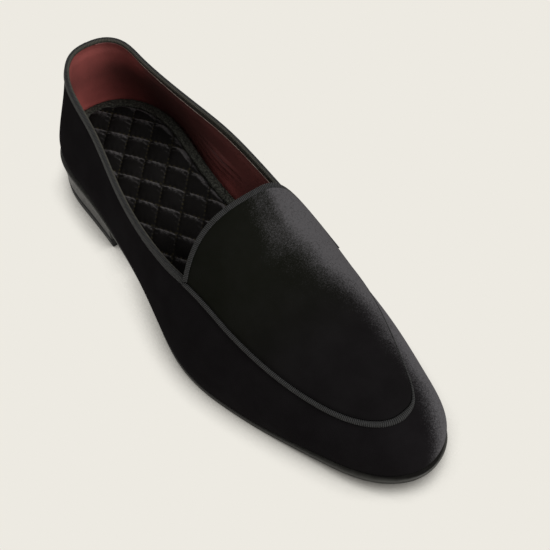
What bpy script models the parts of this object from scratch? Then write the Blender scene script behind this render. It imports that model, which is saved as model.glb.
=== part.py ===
"""A velvet slipper loafer for the right foot, empty, standing on its low heel and on the flat of its sole.

Metres. +Y runs from heel to toe, +X to the outer side of the foot, +Z up. The origin is on the floor,
under the middle of the shoe. The upper is one hollow shell over the form of the last, open at the collar
and underneath, and every other piece is worked out from the same last.
"""
import bmesh
import bpy
import numpy as np

# Driving dimensions of the last and the sole
LENGTH = 0.2860            # feather line, from the back of the heel to the toe
BALL_WIDTH = 0.0980        # feather line, across the ball
INSTEP_HEIGHT = 0.0785     # top of the foot at the throat, above the floor
BACK_HEIGHT = 0.0827       # collar at the back of the heel, above the floor
HEEL_RISE = 0.0203         # underside of the outsole over the heel
TOE_SPRING = 0.0084        # underside of the outsole at the toe
UNDERCUT = 0.0022          # how far the wall turns in where it meets the sole
UNDERCUT_HEIGHT = 0.0120
LEAN_HEIGHT = 0.0450       # height over which the quarters reach their full lean
LEAN_START = 0.50          # share of a section's width at which the lean is whole, from none on the spine
FULLNESS = 2.74            # roundness of a cross section: 2 is an ellipse, more is squarer

# Opening and apron
THROAT_BACK = 0.1464       # middle of the throat, from the back of the heel
OUTER_CORNER = 0.1550      # outer end of the throat, where it meets the collar
INNER_CORNER = 0.1761      # inner end of the throat
OUTER_SWEEP = 5.0          # how late the throat's edge turns forward: 1 is a straight line, 2 a parabola
INNER_SWEEP = 3.0

# Thicknesses, widths and clearances
WALL = 0.0020              # velvet, stiffening and leather lining together
STIFFENER = 0.0006         # what the counter and the toe puff add at the bottom of the wall
EDGE_WALL = 0.0011         # wall skived thin where a ribbon is folded over it
SKIVE_WIDTH = 0.0045       # how far from the edge it stays that thin
SKIVE_SLOPE = 0.0050       # how far it then takes to come back to WALL
PLUG_THICKNESS = 0.0011
RIBBON = 0.0006            # thickness of the woven ribbon
COLLAR_RIBBON_WIDTH = 0.0026
THROAT_RIBBON_WIDTH = 0.0020
OUTER_ROOM = 0.0035        # from the outer corner of the throat to the ends of the ribbons
INNER_ROOM = 0.0060
PIPING_HEIGHT = 0.0019
PIPING_SHOULDER = 0.6      # height of the piping's sides as a share of its middle
PIPING_SIDE_WIDTH = 0.0024
PIPING_TOE_WIDTH = 0.0034
SOLE_THICKNESS = 0.0035
SOLE_STEP = 0.0004         # how far the sole's top layer stands past the layer under it
SOLE_REACH = 0.0014        # what the sole's edge stands in or out of the feather line, in SOLE_MARGIN's shares
SOLE_TOP_LAYER = 0.0013
TOP_LIFT = 0.0060
HEEL_BREAST = 0.0730       # front of the heel, from its back
HEEL_INSET = 0.0010        # heel block inside the sole's edge, at the top
HEEL_TAPER = 0.0016        # what the heel loses on each side on its way down
INSOLE_THICKNESS = 0.0084  # board, padding and quilted cover
HEEL_CUSHION = 0.20        # how much thicker the insole is at the back of the heel, as a share
HEEL_CUSHION_END = 0.45    # share of LENGTH where that has faded out
INSOLE_RIBBON_WIDTH = 0.0058
INSOLE_TOE_ROOM = 0.0012   # what the insole leaves free at the toe, besides the clearance
INSOLE_TOE_START = 0.70    # share of LENGTH where that starts
GAP = 0.0003               # clearance between pieces that touch

# Outline of the feather line from the back of the heel, along the outer side to the toe and back inside.
# Columns: share of LENGTH along the shoe, share of BALL_WIDTH across it.
OUTLINE = (
    (0.000, 0.000),
    (0.010, 0.150),
    (0.059, 0.300),
    (0.170, 0.357),
    (0.309, 0.397),
    (0.446, 0.461),
    (0.566, 0.522),
    (0.677, 0.479),
    (0.775, 0.390),
    (0.871, 0.283),
    (0.958, 0.153),
    (1.000, -0.051),
    (0.970, -0.282),
    (0.868, -0.411),
    (0.757, -0.472),
    (0.651, -0.469),
    (0.528, -0.425),
    (0.387, -0.345),
    (0.255, -0.342),
    (0.140, -0.369),
    (0.050, -0.285),
    (0.009, -0.140),
)
TOE = 11                   # the row of OUTLINE at the toe

# Underside of the outsole. Columns: share of LENGTH, share of HEEL_RISE, share of TOE_SPRING.
GROUND_LINE = (
    (-0.02, 1.000, 0.000),
    (0.06, 1.000, 0.000),
    (0.13, 0.985, 0.000),
    (0.20, 0.935, 0.000),
    (0.27, 0.835, 0.000),
    (0.34, 0.675, 0.000),
    (0.41, 0.485, 0.000),
    (0.48, 0.295, 0.000),
    (0.55, 0.140, 0.000),
    (0.61, 0.036, 0.000),
    (0.66, -0.010, 0.000),
    (0.70, -0.010, 0.000),
    (0.75, 0.000, 0.010),
    (0.81, 0.000, 0.145),
    (0.88, 0.000, 0.385),
    (0.95, 0.000, 0.730),
    (1.02, 0.000, 1.120),
)

# Top of the last in side view, and the spine that its cross sections spread from.
# Columns: share of LENGTH, share of INSTEP_HEIGHT, share of BALL_WIDTH across.
SPINE = (
    (0.00, 1.420, 0.010),
    (0.11, 1.410, 0.000),
    (0.26, 1.354, -0.095),
    (0.33, 1.290, -0.123),
    (0.40, 1.194, -0.138),
    (0.47, 1.093, -0.132),
    (0.54, 0.977, -0.107),
    (0.61, 0.852, -0.076),
    (0.68, 0.735, -0.052),
    (0.75, 0.626, -0.045),
    (0.82, 0.536, -0.050),
    (0.89, 0.475, -0.060),
    (0.95, 0.429, -0.066),
    (1.01, 0.375, -0.072),
)
SPINE_BACK = 0.094         # shares of LENGTH between which the spine runs
SPINE_FRONT = 0.884
SPINE_BACK_BEND = 0.183     # where its sections start to fan out round the heel and the toe
SPINE_FRONT_BEND = 0.723

# How far the top of the wall leans out. Columns: share of LENGTH, then shares of BALL_WIDTH outside and inside.
LEAN = (
    (-0.01, -0.036, -0.036),
    (0.04, -0.042, -0.054),
    (0.09, -0.046, -0.086),
    (0.16, -0.049, -0.080),
    (0.30, -0.005, 0.033),
    (0.43, 0.016, 0.041),
    (0.55, 0.000, 0.000),
    (0.64, 0.000, 0.000),
    (1.01, 0.000, 0.000),
)

# Height of the collar. Columns: share of the way from the heel to the corner, shares of BACK_HEIGHT outside
# and inside.
COLLAR = (
    (-0.07, 0.985, 0.981),
    (0.00, 1.000, 1.000),
    (0.07, 0.985, 0.981),
    (0.18, 0.925, 0.907),
    (0.38, 0.818, 0.800),
    (0.58, 0.728, 0.710),
    (0.78, 0.679, 0.621),
    (1.00, 0.670, 0.556),
)

# Seam of the apron. Columns: way round it, 0 at the outer corner, 1 at the toe and 2 at the inner corner,
# and distance from the spine as a share of the section's half width.
APRON = (
    (0.00, 0.745),
    (0.17, 0.733),
    (0.35, 0.717),
    (0.53, 0.685),
    (0.70, 0.600),
    (0.85, 0.440),
    (1.00, 0.333),
    (1.15, 0.362),
    (1.30, 0.438),
    (1.47, 0.532),
    (1.65, 0.640),
    (1.83, 0.738),
    (2.00, 0.790),
)

# Reach of the sole's edge past the feather line. Columns: row of OUTLINE, share of SOLE_REACH.
SOLE_MARGIN = (
    (0.0, -0.3),
    (3.0, -0.3),
    (4.5, -1.5),
    (6.0, -1.1),
    (8.0, -0.8),
    (10.5, 0.4),
    (12.0, -0.3),
    (14.0, -0.6),
    (15.5, -0.4),
    (17.5, -1.6),
    (19.5, -0.3),
    (22.0, -0.3),
)

# Mesh counts
BACK_STATIONS = 22         # along each side, from the heel to the corner
FRONT_STATIONS = 20        # along each side, from the corner to the toe
WALL_ROWS = 8
PLUG_COLUMNS = 14          # an even number
END_ROWS = 4
SOLE_STATIONS = 30
HEEL_STATIONS = 13         # along each side of the heel block
SHARP_EDGE = 35            # degrees, from which an edge is shaded sharp


def columns(table):
    """The columns of a table as arrays."""
    return [np.array(column, dtype=float) for column in zip(*table)]


def through(xs, ys, x):
    """Natural cubic curve through the points (xs, ys), read at x."""
    gaps = np.diff(xs)
    count = len(xs)
    matrix = np.eye(count)
    right = np.zeros(count)
    for i in range(1, count - 1):
        matrix[i, i - 1:i + 2] = gaps[i - 1], 2 * (gaps[i - 1] + gaps[i]), gaps[i]
        right[i] = 6 * ((ys[i + 1] - ys[i]) / gaps[i] - (ys[i] - ys[i - 1]) / gaps[i - 1])
    bend = np.linalg.solve(matrix, right)
    x = np.asarray(x, dtype=float)
    k = np.clip(np.searchsorted(xs, x) - 1, 0, count - 2)
    step = x - xs[k]
    slope = (ys[k + 1] - ys[k]) / gaps[k] - gaps[k] * (2 * bend[k] + bend[k + 1]) / 6
    return ys[k] + slope * step + bend[k] / 2 * step ** 2 + (bend[k + 1] - bend[k]) / (6 * gaps[k]) * step ** 3


def closed_through(points, u):
    """Closed cubic curve through points, read at u, where whole numbers are the points themselves."""
    count = len(points)
    after = np.roll(points, -1, axis=0)
    gaps = np.linalg.norm(after - points, axis=1) ** 0.75
    slopes = (after - points) / gaps[:, None]
    matrix = np.zeros((count, count))
    for i in range(count):
        matrix[i, i - 1] += gaps[i - 1]
        matrix[i, i] += 2 * (gaps[i - 1] + gaps[i])
        matrix[i, (i + 1) % count] += gaps[i]
    bend = np.linalg.solve(matrix, 6 * (slopes - np.roll(slopes, 1, axis=0)))
    u = np.mod(np.asarray(u, dtype=float), count)
    k = np.minimum(u.astype(int), count - 1)
    gap = gaps[k][:, None]
    step = (u - k)[:, None] * gap
    start, end = bend[k], bend[(k + 1) % count]
    slope = slopes[k] - gap * (2 * start + end) / 6
    return points[k] + slope * step + start / 2 * step ** 2 + (end - start) / (6 * gap) * step ** 3


def smooth_step(x):
    """0 below 0, 1 above 1, and a soft rise between."""
    x = np.clip(x, 0, 1)
    return x ** 2 * (3 - 2 * x)


def outline(u):
    """Points of the feather line in plan, at places u counted in rows of OUTLINE."""
    along, across = columns(OUTLINE)
    return closed_through(np.column_stack([across * BALL_WIDTH, along * LENGTH]), u)


def outline_normal(u):
    """Unit vectors that point out of the feather line in plan."""
    step = 0.02
    tangent = outline(u + step) - outline(u - step)
    normal = np.column_stack([tangent[:, 1], -tangent[:, 0]])
    return normal / np.linalg.norm(normal, axis=1)[:, None]


def place_at(side, y):
    """Place u on the outer (side 1) or inner (side -1) half of the feather line at the distance y."""
    u = np.linspace(0, TOE, 500) if side > 0 else np.linspace(len(OUTLINE), TOE, 500)
    reach = np.maximum.accumulate(outline(u)[:, 1])
    return np.interp(y, reach, u)


def spaced(start, end, count):
    """Places from start to end, evenly far apart along the feather line."""
    u = np.linspace(start, end, 400)
    steps = np.linalg.norm(np.diff(outline(u), axis=0), axis=1)
    travelled = np.concatenate([[0], np.cumsum(steps)])
    return np.interp(np.linspace(0, travelled[-1], count + 1), travelled, u)


def ground_height(y):
    """Height of the underside of the outsole, which lies flat on the floor where the table dips under it."""
    along, heel, toe = columns(GROUND_LINE)
    return np.maximum(through(along * LENGTH, heel * HEEL_RISE + toe * TOE_SPRING, y), 0)


def seat_height(y):
    """Height of the bottom of the upper, just over the outsole."""
    return ground_height(y) + SOLE_THICKNESS + GAP


def crown_height(y):
    """Height of the top of the last along its spine."""
    along, height, _ = columns(SPINE)
    return through(along * LENGTH, height * INSTEP_HEIGHT, y)


def spine_station(y):
    """Where on the spine the section that ends at y starts: level with it, but for the fans at both ends."""
    front, front_bend = SPINE_FRONT * LENGTH, SPINE_FRONT_BEND * LENGTH
    back, back_bend = SPINE_BACK * LENGTH, SPINE_BACK_BEND * LENGTH
    power = (LENGTH - front_bend) / (front - front_bend)
    left = np.clip((LENGTH - y) / (LENGTH - front_bend), 0, 1)
    station = np.where(y > front_bend, front - (front - front_bend) * left ** power, y)
    power = back_bend / (back_bend - back)
    left = np.clip(y / back_bend, 0, 1)
    return np.where(y < back_bend, back + (back_bend - back) * left ** power, station)


def section(u):
    """Start on the spine and end on the feather line, in plan, of the sections at places u."""
    end = outline(u)
    along, _, across = columns(SPINE)
    station = spine_station(end[:, 1])
    return np.column_stack([through(along * LENGTH, across * BALL_WIDTH, station), station]), end


def last_surface(u, r):
    """Points of the upper's outer face. r is 0 on the spine and 1 on the feather line.

    A section rises from the feather line to the crown as the root of 1 - r ** FULLNESS. The bottom turns in
    by UNDERCUT, and the quarters lean as LEAN says.
    """
    start, end = section(u)
    across = end - start
    out = across / np.linalg.norm(across, axis=1)[:, None]
    plan = start + across * r[:, None]
    seat = seat_height(end[:, 1])
    rise = (crown_height(plan[:, 1]) - seat) * np.sqrt(np.clip(1 - r ** FULLNESS, 0, 1))
    tuck = UNDERCUT * np.clip(1 - rise / UNDERCUT_HEIGHT, 0, 1) ** 2
    along, outer, inner = columns(LEAN)
    side = np.where(end[:, 0] > start[:, 0], 1, -1)
    lean_outer = through(along * LENGTH, outer * BALL_WIDTH, end[:, 1])
    lean_inner = through(along * LENGTH, inner * BALL_WIDTH, end[:, 1])
    whole_lean = np.where(side > 0, lean_outer, lean_inner)
    lean = whole_lean * smooth_step(rise / LEAN_HEIGHT) * smooth_step(r / LEAN_START)
    return np.column_stack([plan + out * (lean - tuck)[:, None], seat + rise])


def share_at_height(u, height):
    """The r at which the sections at places u reach a height."""
    start, end = section(u)
    seat = seat_height(end[:, 1])
    r = np.full(len(end), 0.8)
    for _ in range(12):
        y = start[:, 1] + (end[:, 1] - start[:, 1]) * r
        rise = np.clip((height - seat) / (crown_height(y) - seat), 0, 0.999)
        r = (1 - rise ** 2) ** (1 / FULLNESS)
    return r


def chart(plan):
    """Place u and share r of points in plan, found by halving along the outer or the inner side."""
    _, middle = section(np.array([float(TOE)]))
    along, _, across = columns(SPINE)
    spine_x = through(along * LENGTH, across * BALL_WIDTH, np.minimum(plan[:, 1], SPINE_FRONT * LENGTH))
    ahead = np.clip((plan[:, 1] / LENGTH - SPINE_FRONT) / (1 - SPINE_FRONT), 0, 1)
    spine_x = spine_x + (middle[0, 0] - spine_x) * ahead
    side = np.where(plan[:, 0] >= spine_x, 1, -1)
    low = np.zeros(len(plan))
    high = np.full(len(plan), float(TOE))
    for _ in range(30):
        half = (low + high) / 2
        start, end = section(np.where(side > 0, half, len(OUTLINE) - half))
        across_section = end - start
        to_point = plan - start
        turn = across_section[:, 0] * to_point[:, 1] - across_section[:, 1] * to_point[:, 0]
        is_ahead = turn * side > 0
        low = np.where(is_ahead, half, low)
        high = np.where(is_ahead, high, half)
    u = np.where(side > 0, low, len(OUTLINE) - low)
    start, end = section(u)
    r = np.linalg.norm(plan - start, axis=1) / np.linalg.norm(end - start, axis=1)
    return u, np.minimum(r, 1)


def plan_point(u, r):
    """Points in plan before the wall's undercut and lean."""
    start, end = section(u)
    return start + (end - start) * r[:, None]


def wall_rows(u, top):
    """Rows of points down the wall from r = top to the feather line. The first is narrow, the rest even."""
    fine = 80
    share = 1 - (1 - np.linspace(0, 1, fine)) ** 2
    r = top[:, None] + (1 - top[:, None]) * share[None]
    places = np.repeat(u, fine)
    points = last_surface(places, r.ravel()).reshape(len(u), fine, 3)
    steps = np.linalg.norm(np.diff(points, axis=1), axis=2)
    travelled = np.concatenate([np.zeros((len(u), 1)), np.cumsum(steps, axis=1)], axis=1)
    edge = max(COLLAR_RIBBON_WIDTH, PIPING_TOE_WIDTH + GAP) + 2 * GAP
    rows = []
    for i in range(len(u)):
        length = travelled[i, -1]
        wanted = np.concatenate([[0], np.linspace(edge, length, WALL_ROWS)])
        rows.append(last_surface(np.full(WALL_ROWS + 1, u[i]), np.interp(wanted, travelled[i], r[i])))
    return np.array(rows)


def collar_top(side, u, corner):
    """The r of the collar at places u on one side."""
    share, outer, inner = columns(COLLAR)
    y = outline(u)[:, 1]
    height = through(share * corner, (outer if side > 0 else inner) * BACK_HEIGHT, np.clip(y, 0, corner))
    return share_at_height(u, height)


def apron_top(share, outer_r, inner_r):
    """The r of the apron's seam, at shares from 0 at the outer corner over 1 at the toe to 2 at the inner one."""
    knots, values = columns(APRON)
    outer_fade = np.clip(1 - share / knots[1], 0, 1) ** 2
    inner_fade = np.clip(1 - (2 - share) / (2 - knots[-2]), 0, 1) ** 2
    return through(knots, values, share) + (outer_r - values[0]) * outer_fade + (inner_r - values[-1]) * inner_fade


def upper_skin():
    """Outer face of the upper as an open mesh.

    Returns its points, the wall's faces, the wall's vertex numbers in rows, the plug's faces, and the vertex
    numbers of the throat's edge.
    """
    outer_u = place_at(1, OUTER_CORNER)
    inner_u = place_at(-1, INNER_CORNER)
    back_outer = spaced(0, outer_u, BACK_STATIONS)
    front_outer = spaced(outer_u, TOE, FRONT_STATIONS)
    front_inner = spaced(TOE, inner_u, FRONT_STATIONS)
    back_inner = spaced(inner_u, len(OUTLINE), BACK_STATIONS)
    collar_outer = collar_top(1, back_outer, OUTER_CORNER)
    collar_inner = collar_top(-1, back_inner, INNER_CORNER)
    seam_u = np.concatenate([front_outer, front_inner[1:]])
    seam = apron_top(np.linspace(0, 2, len(seam_u)), collar_outer[-1], collar_inner[0])
    u = np.concatenate([back_outer[:-1], seam_u, back_inner[1:-1]])
    top = np.concatenate([collar_outer[:-1], seam, collar_inner[1:-1]])
    wall = wall_rows(u, top)
    count = len(u)
    numbers = np.arange(count * (WALL_ROWS + 1)).reshape(count, WALL_ROWS + 1)
    faces = []
    for i in range(count):
        after = (i + 1) % count
        for j in range(WALL_ROWS):
            faces.append((numbers[i, j], numbers[i, j + 1], numbers[after, j + 1], numbers[after, j]))
    plug_points, rows = plug_rows(plan_point(seam_u, seam), numbers[BACK_STATIONS:BACK_STATIONS + len(seam_u), 0],
                                  collar_outer[-1], collar_inner[0], count * (WALL_ROWS + 1))
    plug = []
    for before, after in zip(rows[:-1], rows[1:]):
        for j in range(PLUG_COLUMNS):
            corners = [before[j], after[j], after[j + 1], before[j + 1]]
            plug.append(tuple(dict.fromkeys(corners)))
    return np.concatenate([wall.reshape(-1, 3), plug_points]), faces, numbers, plug, rows[0]


def plug_rows(seam_plan, seam_numbers, outer_r, inner_r, first):
    """Rows of vertex numbers across the plug, from the throat's edge to the toe, and the new points in them.

    The rows run from the outer to the inner seam. At the throat and at the toe they lie between the last
    straight row and the curved edge, and meet in its two ends.
    """
    half = PLUG_COLUMNS // 2
    angles = np.linspace(0, np.pi, PLUG_COLUMNS + 1)
    share = (np.linspace(0, 1, PLUG_COLUMNS + 1) + (1 - np.cos(angles)) / 2)[:, None] / 2
    throat = np.concatenate([throat_plan(1, angles[:half + 1], OUTER_CORNER, outer_r),
                             throat_plan(-1, np.pi - angles[half + 1:], INNER_CORNER, inner_r)])
    straight = FRONT_STATIONS - half
    last = len(seam_plan) - 1
    lines = []
    for k in range(straight + 1):
        plan = seam_plan[k] + (seam_plan[last - k] - seam_plan[k]) * share
        lines.append((plan, {0: seam_numbers[k], PLUG_COLUMNS: seam_numbers[last - k]}))
    toe_plan = seam_plan[straight:last - straight + 1]
    toe_numbers = dict(enumerate(seam_numbers[straight:last - straight + 1]))
    before, after = [], []
    for t in range(END_ROWS):
        part = t / END_ROWS
        before.append((throat + (lines[0][0] - throat) * part, lines[0][1]))
        after.append((lines[-1][0] + (toe_plan - lines[-1][0]) * (t + 1) / END_ROWS, lines[-1][1]))
    after[-1] = (toe_plan, toe_numbers)
    new, rows = [], []
    for plan, known in before + lines + after:
        row = []
        for j in range(PLUG_COLUMNS + 1):
            if j in known:
                row.append(int(known[j]))
            else:
                row.append(first + len(new))
                new.append(plan[j])
        rows.append(row)
    return surface_over(np.array(new)), rows


def throat_plan(side, angles, corner, corner_r):
    """Plan of half of the throat's edge, which runs forward from the crown as a power of the way across."""
    power = OUTER_SWEEP if side > 0 else INNER_SWEEP
    y = THROAT_BACK + (corner - THROAT_BACK) * np.cos(angles) ** power
    return plan_point(place_at(side, y), corner_r * np.cos(angles))


def surface_over(plan):
    """Points of the upper's outer face over points in plan."""
    u, r = chart(plan)
    return last_surface(u, r)


def vertex_normals(points, faces):
    """Normals of an open mesh's vertices, from the faces round each."""
    normals = np.zeros_like(points)
    for face in faces:
        corner = points[list(face)]
        area = np.zeros(3)
        for i in range(1, len(face) - 1):
            area += np.cross(corner[i] - corner[0], corner[i + 1] - corner[0])
        for vertex in face:
            normals[vertex] += area
    return normals / np.linalg.norm(normals, axis=1)[:, None]


def thicken(points, faces, normals, low, high):
    """Closed solid between two offsets of an open mesh, with a rim along each open edge.

    Faces are cut into triangles the same way on both sides, so that two solids over one mesh keep their distance.
    """
    flat = [(face[0], face[k], face[k + 1]) for face in faces for k in range(1, len(face) - 1)]
    used = sorted({vertex for face in flat for vertex in face})
    index = {vertex: i for i, vertex in enumerate(used)}
    count = len(used)
    top = points[used] + normals[used] * np.broadcast_to(high, len(points))[used][:, None]
    bottom = points[used] + normals[used] * np.broadcast_to(low, len(points))[used][:, None]
    solid = []
    edges = {}
    for face in flat:
        face = [index[vertex] for vertex in face]
        solid.append(face)
        solid.append([vertex + count for vertex in reversed(face)])
        for a, b in zip(face, face[1:] + face[:1]):
            edges[a, b] = True
    for a, b in edges:
        if (b, a) not in edges:
            solid.append([b, a, a + count, b + count])
    return np.concatenate([top, bottom]), solid


def sweep(frames, profiles):
    """Closed solid of a profile of paired outer and inner points, carried along frames.

    A frame is an origin and two directions, and a profile holds pairs of points in those directions.
    """
    points = []
    for (origin, out, down), profile in zip(frames, profiles):
        ring = [pair[0] for pair in profile] + [pair[1] for pair in reversed(profile)]
        points.extend(origin + out * a + down * b for a, b in ring)
    width = 2 * len(profiles[0])
    count = len(frames)
    faces = []
    for i in range(count - 1):
        after = i + 1
        for j in range(width):
            k = (j + 1) % width
            faces.append([i * width + j, i * width + k, after * width + k, after * width + j])
    for base, turn in ((0, 1), ((count - 1) * width, -1)):
        for j in range(len(profiles[0]) - 1):
            cap = [base + j, base + width - 1 - j, base + width - 2 - j, base + j + 1]
            faces.append(cap[::turn])
    return np.array(points), faces


def ribbon_profile(low, high, width):
    """Ribbon folded over an edge that lies between the offsets low and high: pairs of outer and inner points."""
    return [
        ((high + GAP + RIBBON, width), (high + GAP, width)),
        ((high + GAP + RIBBON, -GAP), (high + GAP, -GAP)),
        ((high, -GAP - RIBBON), (high, -GAP)),
        ((low, -GAP - RIBBON), (low, -GAP)),
        ((low - GAP - RIBBON, -GAP), (low - GAP, -GAP)),
        ((low - GAP - RIBBON, width), (low - GAP, width)),
    ]


def square_to(direction, axis):
    """Part of a direction that is square to an axis, as a unit vector."""
    rest = direction - axis * np.dot(direction, axis)
    return rest / np.linalg.norm(rest)


def edge_frames(points, normals, line, below):
    """Frames along an edge of the upper from its outer to its inner corner, with room left at both."""
    path = points[line].copy()
    for end, other, room in ((0, 1, OUTER_ROOM), (-1, -2, INNER_ROOM)):
        step = path[other] - path[end]
        path[end] = path[end] + step * room / np.linalg.norm(step)
    frames = []
    for i, vertex in enumerate(line):
        out = normals[vertex]
        before, after = path[max(i - 1, 0)], path[min(i + 1, len(line) - 1)]
        down = square_to(np.cross(after - before, out), out)
        if below is not None:
            down = points[below[i]] - points[vertex]
            out = square_to(out, down / np.linalg.norm(down))
            down = square_to(down, out)
        frames.append((path[i], out, down))
    frames[0] = (path[0], *frames[1][1:])
    frames[-1] = (path[-1], *frames[-2][1:])
    return frames


def material(name, colour, roughness, metallic=0.0):
    """Principled material."""
    found = bpy.data.materials.get(name)
    if found:
        return found
    made = bpy.data.materials.new(name)
    made.use_nodes = True
    shader = made.node_tree.nodes["Principled BSDF"]
    shader.inputs["Base Color"].default_value = (*colour, 1)
    shader.inputs["Roughness"].default_value = roughness
    shader.inputs["Metallic"].default_value = metallic
    return made


def add_solid(name, points, faces, look):
    """Object of a closed mesh, with its faces turned outwards."""
    mesh = bpy.data.meshes.new(name)
    mesh.from_pydata([tuple(point) for point in points], [], [tuple(face) for face in faces])
    work = bmesh.new()
    work.from_mesh(mesh)
    bmesh.ops.recalc_face_normals(work, faces=work.faces)
    if work.calc_volume(signed=True) < 0:
        bmesh.ops.reverse_faces(work, faces=work.faces)
    work.to_mesh(mesh)
    work.free()
    mesh.shade_smooth()
    mesh.set_sharp_from_angle(angle=np.radians(SHARP_EDGE))
    mesh.materials.append(look)
    made = bpy.data.objects.new(name, mesh)
    bpy.context.scene.collection.objects.link(made)
    return made


def paired_places(first, last, count):
    """Places on the outer and the inner side at the same distances, closer together near a round end."""
    angle = np.linspace(0, np.pi, count + 1)
    y = first + (last - first) * (1 - np.cos(angle)) / 2
    return place_at(1, y), place_at(-1, y)


def layered_solid(outer_u, inner_u, layers, round_front):
    """Closed solid of stacked rings round the feather line, closed across at the top and the bottom.

    A layer is an inset from the sole's edge and a function that gives heights from distances along the shoe.
    """
    u = np.concatenate([outer_u, (inner_u[1:-1] if round_front else inner_u[1:])[::-1]])
    count = len(u)
    margin_u, margin = columns(SOLE_MARGIN)
    edge = outline(u)
    normal = outline_normal(u)
    reach = through(margin_u, margin * SOLE_REACH, np.mod(u, len(OUTLINE)))
    points = []
    for inset, height in layers:
        plan = edge + normal * (reach - inset)[:, None]
        if not round_front:
            plan[len(outer_u) - 1, 1] = edge[len(outer_u) - 1, 1]
            plan[len(outer_u), 1] = edge[len(outer_u), 1]
        points.append(np.column_stack([plan, height(plan[:, 1])]))
    faces = []
    for layer in range(len(layers) - 1):
        for i in range(count):
            after = (i + 1) % count
            faces.append([layer * count + i, layer * count + after, (layer + 1) * count + after,
                          (layer + 1) * count + i])
    for base in (0, (len(layers) - 1) * count):
        for i in range(len(outer_u) - 1):
            ring = [base + i, base + i + 1, base + (count - i - 1) % count, base + (count - i) % count]
            faces.append(list(dict.fromkeys(ring)))
    return np.concatenate(points), faces


def make_sole(look):
    """Outsole: a top layer that stands a little past the layer under it, with the bottom edge rounded off."""
    outer_u, inner_u = paired_places(0, LENGTH, SOLE_STATIONS)
    under = SOLE_TOP_LAYER
    layers = (
        (0.0, lambda y: seat_height(y) - GAP),
        (0.0, lambda y: seat_height(y) - GAP - under),
        (SOLE_STEP, lambda y: seat_height(y) - GAP - under),
        (SOLE_STEP, lambda y: ground_height(y) + SOLE_STEP),
        (2 * SOLE_STEP, ground_height),
    )
    return add_solid("outsole", *layered_solid(outer_u, inner_u, layers, True), look)


def make_heel(look_block, look_lift):
    """Heel block under the outsole, and the flat top lift that it stands on."""
    angle = np.linspace(0, np.pi / 2, HEEL_STATIONS + 1)
    y = HEEL_BREAST * (1 - np.cos(angle))
    outer_u, inner_u = place_at(1, y), place_at(-1, y)
    lift_share = TOP_LIFT / HEEL_RISE
    block = (
        (HEEL_INSET, lambda y: ground_height(y) - GAP),
        (HEEL_INSET + HEEL_TAPER * (1 - lift_share), lambda y: np.full(len(y), TOP_LIFT + GAP)),
    )
    lift = (
        (HEEL_INSET + HEEL_TAPER * (1 - lift_share), lambda y: np.full(len(y), TOP_LIFT)),
        (HEEL_INSET + HEEL_TAPER, lambda y: np.zeros(len(y))),
    )
    return [add_solid("heel_block", *layered_solid(outer_u, inner_u, block, False), look_block),
            add_solid("top_lift", *layered_solid(outer_u, inner_u, lift, False), look_lift)]


def cushion(y):
    """Thickness of the insole at the distance y as a share of what it has at the toe."""
    return 1 + HEEL_CUSHION * smooth_step(1 - y / (HEEL_CUSHION_END * LENGTH))


def insole_ring(inset, height):
    """Ring of points inside the feather line, at a height over the outsole."""
    outer_u, inner_u = paired_places(0, LENGTH, SOLE_STATIONS)
    u = np.concatenate([outer_u, inner_u[1:-1][::-1]])
    edge = outline(u)
    room = INSOLE_TOE_ROOM * np.clip((edge[:, 1] / LENGTH - INSOLE_TOE_START) / (1 - INSOLE_TOE_START), 0, 1)
    plan = edge - outline_normal(u) * (inset + room)[:, None]
    return np.column_stack([plan, seat_height(plan[:, 1]) + height * cushion(plan[:, 1])])


def make_insole(look_pad, look_ribbon):
    """Padded insole inside the bottom of the wall, and the ribbon round its top."""
    inset = UNDERCUT + WALL + STIFFENER + GAP
    rings = [insole_ring(inset, 0), insole_ring(inset, INSOLE_THICKNESS)]
    count = len(rings[0])
    faces = [[i, (i + 1) % count, count + (i + 1) % count, count + i] for i in range(count)]
    for base in (0, count):
        for i in range(SOLE_STATIONS):
            ring = [base + i, base + i + 1, base + (count - i - 1) % count, base + (count - i) % count]
            faces.append(list(dict.fromkeys(ring)))
    made = [add_solid("insole", np.concatenate(rings), faces, look_pad)]
    low = INSOLE_THICKNESS + GAP
    high = low + RIBBON
    far = inset + INSOLE_RIBBON_WIDTH
    corners = [insole_ring(inset, low), insole_ring(inset, high), insole_ring(far, high), insole_ring(far, low)]
    faces = []
    for k in range(4):
        for i in range(count):
            after = (i + 1) % count
            other = (k + 1) % 4
            faces.append([k * count + i, k * count + after, other * count + after, other * count + i])
    made.append(add_solid("insole_binding", np.concatenate(corners), faces, look_ribbon))
    return made


def skiving(points, edge):
    """1 at points near an edge of the upper, where the wall is skived, and 0 where it is whole."""
    distance = np.min([np.linalg.norm(points - place, axis=1) for place in edge], axis=0)
    return np.clip(1 - (distance - SKIVE_WIDTH) / SKIVE_SLOPE, 0, 1)


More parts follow.
